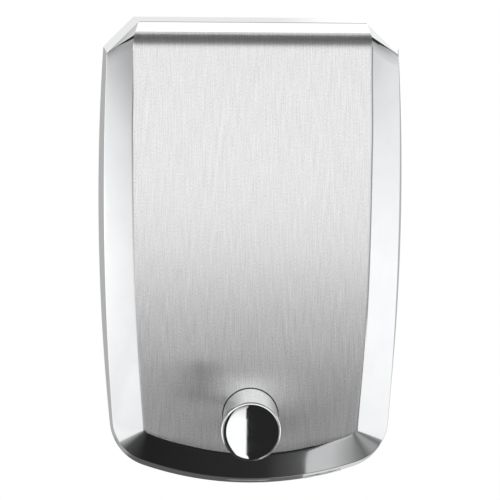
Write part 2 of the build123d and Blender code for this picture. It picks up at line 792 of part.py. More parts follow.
# Lock in the bottom wall
lock_housing = rod(lock_frame, -lock_flange, 0, lock_flange_radius)
lock_housing += rod(lock_frame, 0, lock_body_length, lock_body_radius)
plug_bore = lock_plug_radius + run_fit
lock_housing -= rod(lock_frame, -lock_flange - cut_past, lock_body_length + cut_past, plug_bore)
nut_low = sheet + lock_nut_lift
lock_nut = hexagon(lock_frame, nut_low, nut_low + lock_nut_height, lock_nut_radius, lock_body_radius)
plug_front = -lock_flange + plug_inset
cam_low = lock_body_length + plug_past
cam_high = cam_low + cam_thick
lock_barrel = rod(lock_frame, plug_front, cam_low, lock_plug_radius)
key_slot = Box(key_slot_width, key_slot_height, 2 * key_slot_depth)
lock_barrel -= lock_frame * Pos(0, 0, plug_front) * key_slot
cam_arm = Rectangle(2 * cam_half_width, cam_length, align=(Align.CENTER, Align.MIN))
lock_cam = lock_frame * Pos(0, 0, cam_low) * extrude(cam_arm + Circle(lock_body_radius), cam_thick)
lock_cam -= rod(lock_frame, cam_low - cut_past, cam_high + cut_past, cam_screw_radius)
screw_tip = cam_low - cam_screw_depth
lock_barrel -= rod(lock_frame, screw_tip - cam_screw_room, cam_low + cut_past, cam_screw_radius)
cam_screw = rod(lock_frame, screw_tip, cam_high, cam_screw_radius)
cam_screw += rod(lock_frame, cam_high, cam_high + cam_screw_head, cam_screw_head_radius)

nodes = {
    "front_cover": cover_shell,
    "hinge_leaf": hinge_leaf,
    "button_bush": button_bush,
    "bush_studs": Compound(children=bush_studs),
    "bush_nuts": Compound(children=bush_nuts),
    "push_button": push_button,
    "button_core": button_core,
    "button_ring": button_ring,
    "plunger": plunger,
    "piston": piston,
    "piston_seal": piston_seal,
    "piston_screw": piston_screw,
    "return_spring": return_spring,
    "pump_barrel": barrel,
    "rod_seal": rod_seal,
    "inlet_valve": inlet_valve,
    "pump_gasket": pump_gasket,
    "pump_nut": pump_nut,
    "spout": spout,
    "spout_seal": spout_seal,
    "outlet_valve": outlet_valve,
    "tank": tank,
    "tank_cap": tank_cap,
    "cap_seal": cap_seal,
    "cap_hinge_pin": cap_hinge_pin,
    "wall_plate": wall_plate,
    "hook_bar": hook_bar,
    "hinge_arms": Compound(children=hinge_arms),
    "hinge_pin": hinge_pin,
    "pin_clip": pin_clip,
    "lock_strike": lock_strike,
    "plate_rivets": Compound(children=plate_rivets),
    "lock_housing": lock_housing,
    "lock_nut": lock_nut,
    "lock_barrel": lock_barrel,
    "lock_cam": lock_cam,
    "cam_screw": cam_screw,
}

os.makedirs("parts", exist_ok=True)
for name, shape in nodes.items():
    export_step(shape, "parts/" + name + ".step")
    box = shape.bounding_box()
    print(name, len(shape.solids()), round(shape.volume, 1), box.min, box.max)

spring_gap = least_turn_gap(spring_front, barrel_front, spring_mean_radius, spring_wire, spring_turns)
print("spring turns", spring_turns, "least gap", round(spring_gap, 2), "mm")
print("pump line from", press.origin, "along", press_way, "tilt", round(pump_tilt, 2))
print("lock from", lock_spot, "inward", lock_normal * -1)
print("outlet", outlet_spot)
print("cap hinge at", cap_line.origin)
print("spring seat at", press.from_local_coords(Vector(0, 0, barrel_front)))
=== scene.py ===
# %% [markdown]
# # A wall mounted soap dispenser in steel
#
# The dispenser is a pressed steel cover with a chromed push button. Behind the cover hang a tank and a small
# piston pump. The solids already have their sizes and joints, so this lesson gives them their looks: smooth
# sheet metal, round edges, brushed and polished finishes, and a studio for metal to reflect.

# %% Load the solids
import json
import math

import bmesh
import bpy
from mathutils import Matrix, Vector


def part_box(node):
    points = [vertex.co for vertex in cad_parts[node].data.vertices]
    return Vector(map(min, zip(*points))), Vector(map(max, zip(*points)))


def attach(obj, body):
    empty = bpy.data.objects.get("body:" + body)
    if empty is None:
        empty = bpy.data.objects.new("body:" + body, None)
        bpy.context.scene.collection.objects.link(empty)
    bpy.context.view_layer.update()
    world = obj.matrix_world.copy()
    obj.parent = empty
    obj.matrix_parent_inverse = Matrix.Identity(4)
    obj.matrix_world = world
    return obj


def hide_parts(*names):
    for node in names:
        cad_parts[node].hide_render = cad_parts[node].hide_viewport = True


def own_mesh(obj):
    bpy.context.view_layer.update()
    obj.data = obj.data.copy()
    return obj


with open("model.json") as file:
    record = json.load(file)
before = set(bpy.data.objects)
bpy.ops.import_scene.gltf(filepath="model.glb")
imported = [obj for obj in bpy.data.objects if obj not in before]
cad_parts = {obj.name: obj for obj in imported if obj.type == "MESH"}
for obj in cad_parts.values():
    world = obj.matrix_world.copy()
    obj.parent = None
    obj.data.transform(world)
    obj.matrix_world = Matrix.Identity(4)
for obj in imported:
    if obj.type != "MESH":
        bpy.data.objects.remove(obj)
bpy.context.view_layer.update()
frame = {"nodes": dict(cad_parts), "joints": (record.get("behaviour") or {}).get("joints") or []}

MM = 0.001

# %% [markdown]
# ## Shared grain and smudges
#
# Several finishes need the same two effects. Brushing leaves long fine streaks along one direction, and where the
# brush skips they are broken into short marks. Handling and moulding leave soft clouds. A picture of brushed metal
# would show its pixels up close, so both are noise: stretched along the brush, or plain. Each is a node group, so
# that every finish can use it with its own sizes.


# %% Node helpers
def add_node(tree, kind, **values):
    """New node of this kind, with its named inputs or properties set."""
    node = tree.nodes.new(kind)
    for name, value in values.items():
        if name in node.inputs:
            node.inputs[name].default_value = value
        else:
            setattr(node, name, value)
    return node


def wire(tree, *links):
    """Links in a node tree, each given as a node, its output, the next node and its input."""
    for source, output, target, socket in links:
        tree.links.new(source.outputs[output], target.inputs[socket])


def new_tree(kind, name, inputs, output):
    """Empty node tree with named inputs and one output. An input without a value takes geometry."""
    tree = bpy.data.node_groups.new(name, kind + "NodeTree")
    for label, value in inputs:
        socket_type = "NodeSocketGeometry" if value is None else "NodeSocketFloat"
        socket = tree.interface.new_socket(name=label, in_out="INPUT", socket_type=socket_type)
        if value is not None:
            socket.default_value = value
    socket_type = "NodeSocketGeometry" if kind == "Geometry" else "NodeSocketFloat"
    tree.interface.new_socket(name=output, in_out="OUTPUT", socket_type=socket_type)
    return tree, tree.nodes.new("NodeGroupInput"), tree.nodes.new("NodeGroupOutput")


# %% Brush grain group
# The turn, in radians, keeps streaks from ending in rows, and marks are so many times shorter than streaks
ROW_TURN = 0.17
MARK_SHARE = 20.0
GRAIN_SIZES = [("Across", 2600.0), ("Through", 2600.0), ("Along", 70.0), ("Broken", 0.0)]
grain_group, grain_in, grain_out = new_tree("Shader", "brush_grain", GRAIN_SIZES, "Streak")
grain_place = add_node(grain_group, "ShaderNodeTexCoord")
grain_scale = add_node(grain_group, "ShaderNodeCombineXYZ")
grain_map = add_node(grain_group, "ShaderNodeVectorMath", operation="MULTIPLY")
grain_turn = add_node(grain_group, "ShaderNodeVectorRotate", rotation_type="Y_AXIS", Angle=ROW_TURN)
grain_long = add_node(grain_group, "ShaderNodeTexNoise", Scale=1.0, Detail=4.0, Roughness=0.6)
mark_map = add_node(grain_group, "ShaderNodeVectorMath", operation="MULTIPLY")
mark_map.inputs[1].default_value = (1.0, 1.0, MARK_SHARE)
mark_short = add_node(grain_group, "ShaderNodeTexNoise", Scale=1.0, Detail=1.0)
mark_step = add_node(grain_group, "ShaderNodeMath", operation="SUBTRACT")
mark_step.inputs[1].default_value = 0.5
grain_sum = add_node(grain_group, "ShaderNodeMath", operation="MULTIPLY_ADD")
wire(
    grain_group,
    (grain_in, "Across", grain_scale, "X"),
    (grain_in, "Through", grain_scale, "Y"),
    (grain_in, "Along", grain_scale, "Z"),
    (grain_place, "Object", grain_map, 0),
    (grain_scale, "Vector", grain_map, 1),
    (grain_map, "Vector", grain_turn, "Vector"),
    (grain_turn, "Vector", grain_long, "Vector"),
    (grain_map, "Vector", mark_map, 0),
    (mark_map, "Vector", mark_short, "Vector"),
    (mark_short, "Fac", mark_step, 0),
    (mark_step, "Value", grain_sum, 0),
    (grain_in, "Broken", grain_sum, 1),
    (grain_long, "Fac", grain_sum, 2),
    (grain_sum, "Value", grain_out, "Streak"),
)
print("group", grain_group.name, "nodes", len(grain_group.nodes))

# %% Cloud group
CLOUD_SIZES = [("Scale", 40.0), ("Detail", 3.0)]
cloud_group, cloud_in, cloud_out = new_tree("Shader", "soft_cloud", CLOUD_SIZES, "Cloud")
cloud_place = add_node(cloud_group, "ShaderNodeTexCoord")
cloud_noise = add_node(cloud_group, "ShaderNodeTexNoise", Roughness=0.55)
wire(
    cloud_group,
    (cloud_place, "Object", cloud_noise, "Vector"),
    (cloud_in, "Scale", cloud_noise, "Scale"),
    (cloud_in, "Detail", cloud_noise, "Detail"),
    (cloud_noise, "Fac", cloud_out, "Cloud"),
)
print("group", cloud_group.name, "nodes", len(cloud_group.nodes))

# %% [markdown]
# ## Finishes
#
# The cover has three steels: a satin panel, mirror polished bevels, and plain mill steel inside. Pump and tank are
# moulded plastics. Each could be a tree of its own, but they all vary in the same way, so one helper makes them.
# A finish starts from one Principled shader, with its constants on the shader's own sockets. What changes over the
# surface is a range that a mask from one of the groups moves along: two colours, two roughnesses, and a bump.

# %% Finish helper
# Noise seldom leaves this range, so it is spread from 0 to 1
MASK_LOW, MASK_HIGH = 0.3, 0.7
finishes = {}


def finish(name, dark, light, rough, sizes, bump=0.0, depth=0.00002, **constants):
    """Adds a material that follows one mask: brush grain where its sizes name Across, or else clouds."""
    material = bpy.data.materials.new(name)
    material.use_nodes = True
    tree = material.node_tree
    shader = tree.nodes["Principled BSDF"]
    for label, value in constants.items():
        shader.inputs[label.replace("_", " ")].default_value = value
    group = grain_group if "Across" in sizes else cloud_group
    pattern = add_node(tree, "ShaderNodeGroup", node_tree=group)
    for label, value in sizes.items():
        pattern.inputs[label].default_value = value
    spread = add_node(tree, "ShaderNodeMapRange")
    spread.inputs["From Min"].default_value = MASK_LOW
    spread.inputs["From Max"].default_value = MASK_HIGH
    colour = add_node(tree, "ShaderNodeMix", data_type="RGBA")
    colour.inputs["A"].default_value = (*dark, 1.0)
    colour.inputs["B"].default_value = (*light, 1.0)
    gloss = add_node(tree, "ShaderNodeMapRange")
    gloss.inputs["To Min"].default_value = rough[0]
    gloss.inputs["To Max"].default_value = rough[1]
    wire(
        tree,
        (pattern, 0, spread, "Value"),
        (spread, "Result", colour, "Factor"),
        (spread, "Result", gloss, "Value"),
        (colour, "Result", shader, "Base Color"),
        (gloss, "Result", shader, "Roughness"),
    )
    if bump > 0:
        relief = add_node(tree, "ShaderNodeBump", Strength=bump, Distance=depth)
        wire(tree, (spread, "Result", relief, "Height"), (relief, "Normal", shader, "Normal"))
    finishes[name] = material


def grey(value, blue=0.0):
    """Neutral colour, a little colder where blue is above zero."""
    return (value * (1 - blue), value, value * (1 + blue))


# %% Steel finishes
finish(
    "satin_steel", grey(0.67), grey(0.97), (0.34, 0.42), bump=0.8, depth=0.00001,
    sizes={"Across": 4000.0, "Through": 0.0, "Along": 75.0, "Broken": 0.8},
    Metallic=1.0, Anisotropic=0.8,
)
satin_tree = finishes["satin_steel"].node_tree
satin_way = add_node(satin_tree, "ShaderNodeTangent", direction_type="UV_MAP", uv_map="grain")
wire(satin_tree, (satin_way, "Tangent", satin_tree.nodes["Principled BSDF"], "Tangent"))
finish(
    "polished_steel", grey(0.78, 0.01), grey(0.81, 0.01), (0.06, 0.08),
    sizes={"Scale": 90.0}, Metallic=1.0,
)
finish(
    "mill_steel", grey(0.42), grey(0.56), (0.38, 0.52), bump=0.1,
    sizes={"Across": 900.0, "Through": 900.0, "Along": 60.0}, Metallic=1.0,
)
finish(
    "plate_steel", grey(0.46), grey(0.62), (0.3, 0.44), bump=0.12,
    sizes={"Across": 1500.0, "Through": 1500.0, "Along": 40.0}, Metallic=1.0,
)
finish(
    "pin_steel", grey(0.5), grey(0.66), (0.22, 0.34), bump=0.15,
    sizes={"Across": 120.0, "Through": 120.0, "Along": 2400.0}, Metallic=1.0,
)
finish(
    "spring_steel", grey(0.4), grey(0.56), (0.25, 0.4), bump=0.1, sizes={"Scale": 900.0}, Metallic=1.0
)
finish(
    "button_chrome", grey(0.84, 0.01), grey(0.89, 0.01), (0.008, 0.02), sizes={"Scale": 260.0}, Metallic=1.0
)
finish(
    "lock_chrome", grey(0.66, 0.01), grey(0.76, 0.01), (0.1, 0.2), sizes={"Scale": 300.0}, Metallic=1.0
)
print("steel finishes", list(finishes))

# %% Plastic and rubber finishes
finish(
    "tank_plastic", (0.8, 0.82, 0.81), (0.88, 0.9, 0.89), (0.38, 0.5), bump=0.08, depth=0.0001,
    sizes={"Scale": 60.0, "Detail": 5.0}, Subsurface_Weight=0.35, Subsurface_Scale=0.006,
)
finish(
    "pump_plastic", (0.74, 0.74, 0.72), (0.84, 0.84, 0.82), (0.3, 0.42), bump=0.06, depth=0.0001,
    sizes={"Scale": 160.0, "Detail": 4.0}, Subsurface_Weight=0.1, Subsurface_Scale=0.002,
)
finish(
    "dark_plastic", grey(0.018), grey(0.035), (0.42, 0.58), bump=0.2, depth=0.00005,
    sizes={"Scale": 1400.0, "Detail": 2.0},
)
finish(
    "seal_rubber", grey(0.012), grey(0.024), (0.6, 0.75), bump=0.12, depth=0.00004,
    sizes={"Scale": 700.0, "Detail": 3.0},
)
finish(
    "valve_silicone", (0.5, 0.52, 0.52), (0.6, 0.62, 0.62), (0.35, 0.5), bump=0.05, depth=0.00004,
    sizes={"Scale": 500.0, "Detail": 2.0}, Subsurface_Weight=0.3, Subsurface_Scale=0.002,
)
print("finishes", len(finishes))

# %% [markdown]
# ## Pieces as meshes
#
# A finished piece is one mesh object at the origin, so its place is in its points. Modifiers could stay live on it,
# but a plain mesh can be measured and exported as it is. These helpers make one from a bmesh, run modifiers on it
# and keep the result, and hand it to its body.


# %% Mesh helpers
def new_object(name, mesh):
    """Object of this mesh, linked to the scene at the origin."""
    item = bpy.data.objects.new(name, mesh)
    bpy.context.scene.collection.objects.link(item)
    return item


def mesh_from(builder, name):
    """Plain mesh of a bmesh, with its faces turned outwards."""
    bmesh.ops.recalc_face_normals(builder, faces=builder.faces)
    mesh = bpy.data.meshes.new(name)
    builder.to_mesh(mesh)
    builder.free()
    return mesh


def keep_result(item):
    """Replaces an object's mesh by what its modifiers make of it, and removes them."""
    graph = bpy.context.evaluated_depsgraph_get()
    result = bpy.data.meshes.new_from_object(item.evaluated_get(graph), depsgraph=graph)
    result.name = item.name
    item.modifiers.clear()
    item.data = result


def shade_finished(item, angle):
    """Sharp edges above an angle in degrees. Elsewhere the large faces decide the shading."""
    item.data.set_sharp_from_angle(angle=math.radians(angle))
    weighted = item.modifiers.new("shading", "WEIGHTED_NORMAL")
    weighted.mode = "FACE_AREA"
    weighted.weight = 100
    weighted.keep_sharp = True
    keep_result(item)


def repaint(item, material):
    """Gives an object this one material."""
    item.data.materials.clear()
    item.data.materials.append(material)


def hand_over(piece, body, slot, *nodes):
    """The piece moves with a body and stands for the named solids, which are hidden. The slot is not used."""
    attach(piece, body)
    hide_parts(*nodes)
    print(piece.name, "faces", len(piece.data.polygons), "for", nodes)


# %% [markdown]
# ## The cover's outlines
#
# The cover is pressed from one sheet. Its rear rim is a large outline: flat top, cut corners, bowed sides that
# close in downwards, and an arched bottom with round corners. The side walls rise to a smaller edge outline, where
# polished bevels begin. The bevels run towards a nose outline in the air, and the bowed panel cuts them off first.
# The outlines could be drawn by hand, but all three follow one rule, so one function works out their circles.

# %% Outline sizes, in millimetres
RIM = {"half": 61.9, "widest": 28.0, "side": 930.0, "top": 95.0, "bottom": -95.0, "arch": 135.0, "corner": 20.0}
EDGE = {"half": 57.6, "widest": 28.0, "side": 1150.0, "top": 88.3, "bottom": -89.1, "arch": 129.0, "corner": 17.0}
NOSE = {"half": 42.0, "widest": -30.0, "side": 350.0, "top": 65.5, "bottom": -78.0, "arch": 99.0, "corner": 1.0}
RIM_CHAMFER = 12.2
EDGE_CHAMFER = 12.4
RIM_Y = -3.0
EDGE_DEPTH = 66.2
EDGE_LEAN = 0.045
NOSE_DEPTH = 83.6
NOSE_LEAN = 0.187
CROWN_DEPTH = 80.0
CROWN_Z = 40.0
CROWN_RADIUS = 600.0
SHEET = 1.0


# %% Outline rule
def mirrored(spot):
    """The spot on the other side of the middle."""
    return (-spot[0], *spot[1:])


def outline(sizes, chamfer):
    """Ends and centres of an outline's right half."""
    side_x = sizes["half"] - sizes["side"]
    arch_z = sizes["bottom"] + sizes["arch"]
    side_reach = sizes["side"] - sizes["corner"]
    arch_reach = sizes["arch"] - sizes["corner"]
    span_x = -side_x
    span_z = arch_z - sizes["widest"]
    span = math.hypot(span_x, span_z)
    along = (side_reach**2 - arch_reach**2 + span**2) / (2 * span)
    across = math.sqrt(side_reach**2 - along**2)
    corner_x = side_x + (along * span_x + across * span_z) / span
    corner_z = sizes["widest"] + (along * span_z - across * span_x) / span
    grow = sizes["side"] / side_reach
    sweep = sizes["arch"] / arch_reach
    side_top_z = sizes["top"] - chamfer
    side_top_x = side_x + math.sqrt(sizes["side"] ** 2 - (side_top_z - sizes["widest"]) ** 2)
    return {
        "flat_end": (side_top_x - chamfer, sizes["top"]),
        "side_top": (side_top_x, side_top_z),
        "side_centre": (side_x, sizes["widest"]),
        "side_end": (side_x + (corner_x - side_x) * grow, sizes["widest"] + (corner_z - sizes["widest"]) * grow),
        "corner_centre": (corner_x, corner_z),
        "arch_end": (corner_x * sweep, arch_z + (corner_z - arch_z) * sweep),
        "arch_centre": (0.0, arch_z),
    }


def arc(centre, start, end, share):
    """Spot at this share of the way along an arc."""
    first = math.atan2(start[1] - centre[1], start[0] - centre[0])
    last = math.atan2(end[1] - centre[1], end[0] - centre[0])
    angle = first + (last - first) * share
    radius = math.dist(start, centre)
    return (centre[0] + radius * math.cos(angle), centre[1] + radius * math.sin(angle))


def spot_along(form, part, share):
    """Spot of an outline at a share of the way along its side, its corner or half of its arch."""
    if part == "side":
        return arc(form["side_centre"], form["side_top"], form["side_end"], share)
    if part == "corner":
        return arc(form["corner_centre"], form["side_end"], form["arch_end"], share)
    return arc(form["arch_centre"], form["arch_end"], mirrored(form["arch_end"]), share / 2)


def shares_of(steps):
    """Shares of a run in equal steps, without its start."""
    return [step / steps for step in range(1, steps + 1)]


rim_form = outline(RIM, RIM_CHAMFER)
edge_form = outline(EDGE, EDGE_CHAMFER)
edge_square = outline(EDGE, 0.0)
nose_form = outline(NOSE, 0.0)
print("rim flat top", round(2 * rim_form["flat_end"][0], 1), "mm")

# %% [markdown]
# ## Where the bevel meets the panel
#
# The panel is part of a large cylinder lying on its side. For a pair of spots on the edge and on the nose outline,
# the bevel is the straight line between them. A formula for where it meets the panel would be long, so the line is
# halved again and again until the spot is found. The top of the panel isn't a sharp edge: the sheet rolls over it
# on a radius, and the roll keeps the satin grain.

# %% Panel border
HALVINGS = 40


def panel_y(z):
    """Front face of the bowed panel at this height."""
    return CROWN_RADIUS - CROWN_DEPTH - math.sqrt(CROWN_RADIUS**2 - (z - CROWN_Z) ** 2)


def edge_y(z):
    """Depth of the bevel's outer edge at this height."""
    return -EDGE_DEPTH - EDGE_LEAN * z


def meeting(edge_spot, nose_spot):
    """Spot where the bevel line between two outlines meets the panel."""
    start = Vector((edge_spot[0], edge_y(edge_spot[1]), edge_spot[1]))
    end = Vector((nose_spot[0], -NOSE_DEPTH - NOSE_LEAN * nose_spot[1], nose_spot[1]))
    near, far = 0.0, 1.0
    for _ in range(HALVINGS):
        share = (near + far) / 2
        spot = start.lerp(end, share)
        if spot.y > panel_y(spot.z):
            near = share
        else:
            far = share
    return spot


def border(edge, nose, part, shares):
    """Spots where one part of the bevel meets the panel."""
    return [meeting(spot_along(edge, part, share), spot_along(nose, part, share)) for share in shares]


SIDE_STEPS = 60
CORNER_STEPS = 14
ARCH_STEPS = 26
side_border = border(edge_square, nose_form, "side", [0.0] + shares_of(SIDE_STEPS))
corner_border = border(edge_form, nose_form, "corner", shares_of(CORNER_STEPS))
arch_border = border(edge_form, nose_form, "arch", shares_of(ARCH_STEPS))
panel_top = side_border[0]
print("panel top", [round(v, 1) for v in panel_top], "bottom", [round(v, 1) for v in arch_border[-1]])

# %% Rolled top of the panel
ROLL_RADIUS = 10.0
ROLL_STEPS = 16
TIP_X = 45.8
TIP_Z = 82.6
TIP_FADE = 40.0
TIP_STEPS = 4
GRAIN_LAP = 0.7
bevel_rise = Vector((0, edge_y(EDGE["top"]) - panel_top.y, EDGE["top"] - panel_top.z)).normalized()
bevel_angle = math.atan2(bevel_rise.y, bevel_rise.z)
panel_angle = math.asin((panel_top.z - CROWN_Z) / CROWN_RADIUS)
roll_reach = ROLL_RADIUS * math.tan((bevel_angle - panel_angle) / 2)
bevel_normal = Vector((0, -math.cos(bevel_angle), math.sin(bevel_angle)))
roll_centre = Vector((0, panel_top.y, panel_top.z)) + bevel_rise * roll_reach - bevel_normal * ROLL_RADIUS
roll_end = roll_centre.z + ROLL_RADIUS * math.sin(panel_angle)
tip_angle = math.asin((TIP_Z - roll_centre.z) / ROLL_RADIUS)


def eased(share):
    """Share from 0 to 1 that starts and ends gently."""
    share = min(1.0, max(0.0, share))
    return share * share * (3 - 2 * share)


def side_x(z):
    """Half width of the panel at this height, or of the top bevel above the panel's tip."""
    if z >= TIP_Z:
        share = (z - TIP_Z) / (EDGE["top"] - TIP_Z)
        return TIP_X + (edge_form["flat_end"][0] - TIP_X) * share
    x = panel_top.x
    for upper, lower in zip(side_border, side_border[1:]):
        if lower.z <= z <= upper.z:
            x = lower.x + (upper.x - lower.x) * (z - lower.z) / (upper.z - lower.z)
    return x - (panel_top.x - TIP_X) * eased(1 - (TIP_Z - z) / TIP_FADE)


def front_y(z):
    """Front of the panel, or of its rolled top, at this height."""
    if z <= roll_end:
        return panel_y(z)
    return roll_centre.y - math.sqrt(ROLL_RADIUS**2 - (z - roll_centre.z) ** 2)


def roll_rung(first, last, share):
    """Right end of the roll's rung at a share of the way between two angles."""
    z = roll_centre.z + ROLL_RADIUS * math.sin(first + (last - first) * share)
    return Vector((side_x(z), front_y(z), z))


roll_above = [roll_rung(bevel_angle, tip_angle, step / TIP_STEPS) for step in range(TIP_STEPS)]
grain_end = roll_above[0] + bevel_rise * GRAIN_LAP
roll_above.insert(0, Vector((side_x(grain_end.z), grain_end.y, grain_end.z)))
roll_below = [roll_rung(tip_angle, panel_angle, step / ROLL_STEPS) for step in range(ROLL_STEPS + 1)]
side_below = [Vector((side_x(spot.z), spot.y, spot.z)) for spot in side_border if spot.z < roll_end - 1]
print("roll from", round(roll_above[0].z, 2), "to", round(roll_end, 2))

# %% [markdown]
# ## The cover's sheet
#
# The mesh is a ladder. Each rung joins the left and right border at one height, which suits a panel that bends
# only from top to bottom. Around it run the bevels and walls, station by station. The bevels are crowned by
# a fraction of a millimetre, as polishing leaves them, so their reflections drift instead of standing still.
# A pressed fold is never sharp. A Bevel modifier could round it, but with one width all round. So each station has
# a round where the wall turns into the bevel, and another into the panel, which grows along the chin.

# %% Station rule
BEVEL_STEPS = 5
BEVEL_CROWN = 0.22
CROWN_FADE = 8.0
WALL_ROUND = 0.45
PANEL_ROUND = 0.9
CHIN_ROUND = 4.0
BEVEL_ROUND = 1.1
TIP_ROUND = 0.04
ROUND_FADE = 6.0
WALL_ROUND_STEPS = 3
PANEL_ROUND_STEPS = 4


def round_spots(start, corner, end, steps):
    """Spots of a round from start to end that leaves out the corner."""
    spots = []
    for step in range(steps + 1):
        share = step / steps
        spots.append(start * (1 - share) ** 2 + corner * 2 * share * (1 - share) + end * share**2)
    return spots


def station(rim, edge, fold, outward, inward, width, crown):
    """Spots of one station: rim, round to the bevel, crowned bevel, round to the panel."""
    length = (fold - edge).length

    def bevel(share):
        return edge.lerp(fold, share) + outward * crown * 4 * share * (1 - share)

    first = WALL_ROUND / length
    last = 1 - min(width, BEVEL_ROUND) / length
    spots = [rim]
    spots += round_spots(edge + (rim - edge).normalized() * WALL_ROUND, edge, bevel(first), WALL_ROUND_STEPS)
    for step in range(1, BEVEL_STEPS):
        spots.append(bevel(first + (last - first) * step / BEVEL_STEPS))
    inside_z = fold.z + inward[1] * width
    inside = Vector((fold.x + inward[0] * width, front_y(inside_z), inside_z))
    return spots + round_spots(bevel(last), fold, inside, PANEL_ROUND_STEPS)


# %% Stations along the right half
folds = roll_below + side_below
lengths = [0.0]
for upper, lower in zip(folds, folds[1:]):
    lengths.append(lengths[-1] + (upper - lower).length)
shares = [length / lengths[-1] for length in lengths]
widths = [max(TIP_ROUND, PANEL_ROUND * eased(length / ROUND_FADE)) for length in lengths]
widths += [PANEL_ROUND] * CORNER_STEPS
widths += [PANEL_ROUND + (CHIN_ROUND - PANEL_ROUND) * eased(2 * share) for share in shares_of(ARCH_STEPS)]
folds = folds + corner_border + arch_border
edges = []
rims = []
for form, spots in ((edge_form, edges), (rim_form, rims)):
    spots += [spot_along(form, "side", share) for share in shares]
    spots += [spot_along(form, "corner", share) for share in shares_of(CORNER_STEPS)]
    spots += [spot_along(form, "arch", share) for share in shares_of(ARCH_STEPS)]
edges = [Vector((x, edge_y(z), z)) for x, z in edges]
rims = [Vector((x, RIM_Y, z)) for x, z in rims]


def course(spots, index):
    """Direction along a line of spots, level at the middle of the chin."""
    if index == len(spots) - 1:
        return Vector((-1, 0, 0))
    return (spots[index + 1] - spots[max(0, index - 1)]).normalized()


columns = []
for index, fold in enumerate(folds):
    outward = course(edges, index).cross(fold - edges[index]).normalized()
    if outward.y > 0:
        outward.negate()
    way = course(folds, index)
    inward = Vector((way.z, -way.x)).normalized()
    crown = BEVEL_CROWN * min(1.0, index / CROWN_FADE)
    columns.append(station(rims[index], edges[index], fold, outward, inward, widths[index], crown))
print("stations", len(columns), "spots in each", len(columns[0]))

# %% Round ridge at the cut corner
RIDGE_ROUND = 0.8
edge_high = Vector((edge_form["flat_end"][0], edge_y(EDGE["top"]), EDGE["top"]))
rim_high = Vector((rim_form["flat_end"][0], RIM_Y, RIM["top"]))
towards_top = (edge_high - edges[0]).normalized()
wall_round_spot = edge_high + (rim_high - edge_high).normalized() * WALL_ROUND
bevel_round_spot = edge_high + (roll_above[0] - edge_high).normalized() * WALL_ROUND
high_column = [rim_high] + round_spots(wall_round_spot, edge_high, bevel_round_spot, WALL_ROUND_STEPS)
ridge = columns[0]
ridge_length = (folds[0] - edges[0]).length
upper_column = []
for row, spot in enumerate(ridge):
    left_over = 1.0
    if row >= len(high_column):
        left_over = max(0.0, 1 - (spot - edges[0]).length / ridge_length)
    upper_column.append(spot + towards_top * RIDGE_ROUND * math.sqrt(left_over))
lower_column = columns[2]
middle_column = [a * 0.25 + b * 0.5 + c * 0.25 for a, b, c in zip(upper_column, ridge, lower_column)]
columns = [upper_column, middle_column] + columns[2:]
print("ridge", round(ridge_length, 1), "mm")

# %% Sheet mesh
SATIN = 0
POLISHED = 1
sheet = bmesh.new()


def sheet_vertex(spot):
    """Vertex of the sheet at a spot in millimetres."""
    return sheet.verts.new(Vector(spot) * MM)


def sheet_face(corners, material):
    """Face of the sheet in one of its finishes."""
    face = sheet.faces.new(corners)
    face.material_index = material


def sheet_strip(one, two):
    """Faces between two columns, satin from the middle of the panel's round."""
    for row in range(len(one) - 1):
        inner = row >= len(columns[0]) - 1 - PANEL_ROUND_STEPS // 2
        sheet_face((one[row], two[row], two[row + 1], one[row + 1]), SATIN if inner else POLISHED)


right = [[sheet_vertex(spot) for spot in column] for column in columns]
left = [[sheet_vertex(mirrored(spot)) for spot in column] for column in columns[:-1]]
ring = right + left[::-1]
for one, two in zip(ring, ring[1:]):
    sheet_strip(one, two)
high_columns = []
rungs = []
for flip, side in ((Vector, right), (mirrored, left)):
    high = [sheet_vertex(flip(spot)) for spot in high_column]
    above = [sheet_vertex(flip(spot)) for spot in roll_above]
    sheet_strip(high, side[0][: len(high)])
    sheet_face([high[-1]] + side[0][len(high) - 1 :] + above[::-1], POLISHED)
    high_columns.append(high)
    rungs.append(above + [column[-1] for column in side])
(high_right, high_left), (rungs_right, rungs_left) = high_columns, rungs
sheet_strip(high_left, high_right)
sheet_face((high_left[-1], high_right[-1], rungs_right[0], rungs_left[0]), POLISHED)
for index in range(len(rungs_left) - 1):
    sheet_face((rungs_left[index], rungs_right[index], rungs_right[index + 1], rungs_left[index + 1]), SATIN)
sheet_face((rungs_left[-1], rungs_right[-2], rungs_right[-1]), SATIN)
cover = new_object("cover_sheet", mesh_from(sheet, "cover_sheet"))
for name in ("satin_steel", "polished_steel", "mill_steel", "mill_steel"):
    cover.data.materials.append(finishes[name])
print("sheet faces", len(cover.data.polygons))

# %% [markdown]
# ## Holes, thickness and edges of the cover
#
# Modelling the inner side again would double the work, so Solidify gives the sheet its one millimetre, with
# a duller mill finish inside and on cut edges. Then three round holes are cut: for the button, for the drip below
# the spout, and for the lock. Booleans suit them, because each hole crosses several faces of the sheet.

# %% Lines of the button and the lock
button_joint = next(joint for joint in frame["joints"] if joint["name"] == "button_press")
lock_joint = next(joint for joint in frame["joints"] if joint["name"] == "lock_turn")
press_way = Vector(button_joint["axis"]).normalized()
lock_way = -Vector(lock_joint["axis"]).normalized()
PUMP_Z = -64.0
press_spot = Vector((0, panel_y(PUMP_Z), PUMP_Z)) * MM
lock_spot = Vector(lock_joint["pos_m"])
spout_low, spout_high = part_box("spout")
drip_spot = Vector((0, (spout_low.y + spout_high.y) / 2, spout_low.z))
print("press way", [round(v, 3) for v in press_way], "drip at", [round(v, 4) for v in drip_spot])

# %% Cut the cover
# Cut edges take the third of the cover's finishes, and folds above the angle, in degrees, stay sharp
CUT_EDGE = 2
HOLE_STEPS = 96
BUTTON_HOLE = 10.95 * MM
DRIP_HOLE = 9.0 * MM
LOCK_HOLE = 5.8 * MM
CUT_REACH = 6.0 * MM
FOLD_ANGLE = 35


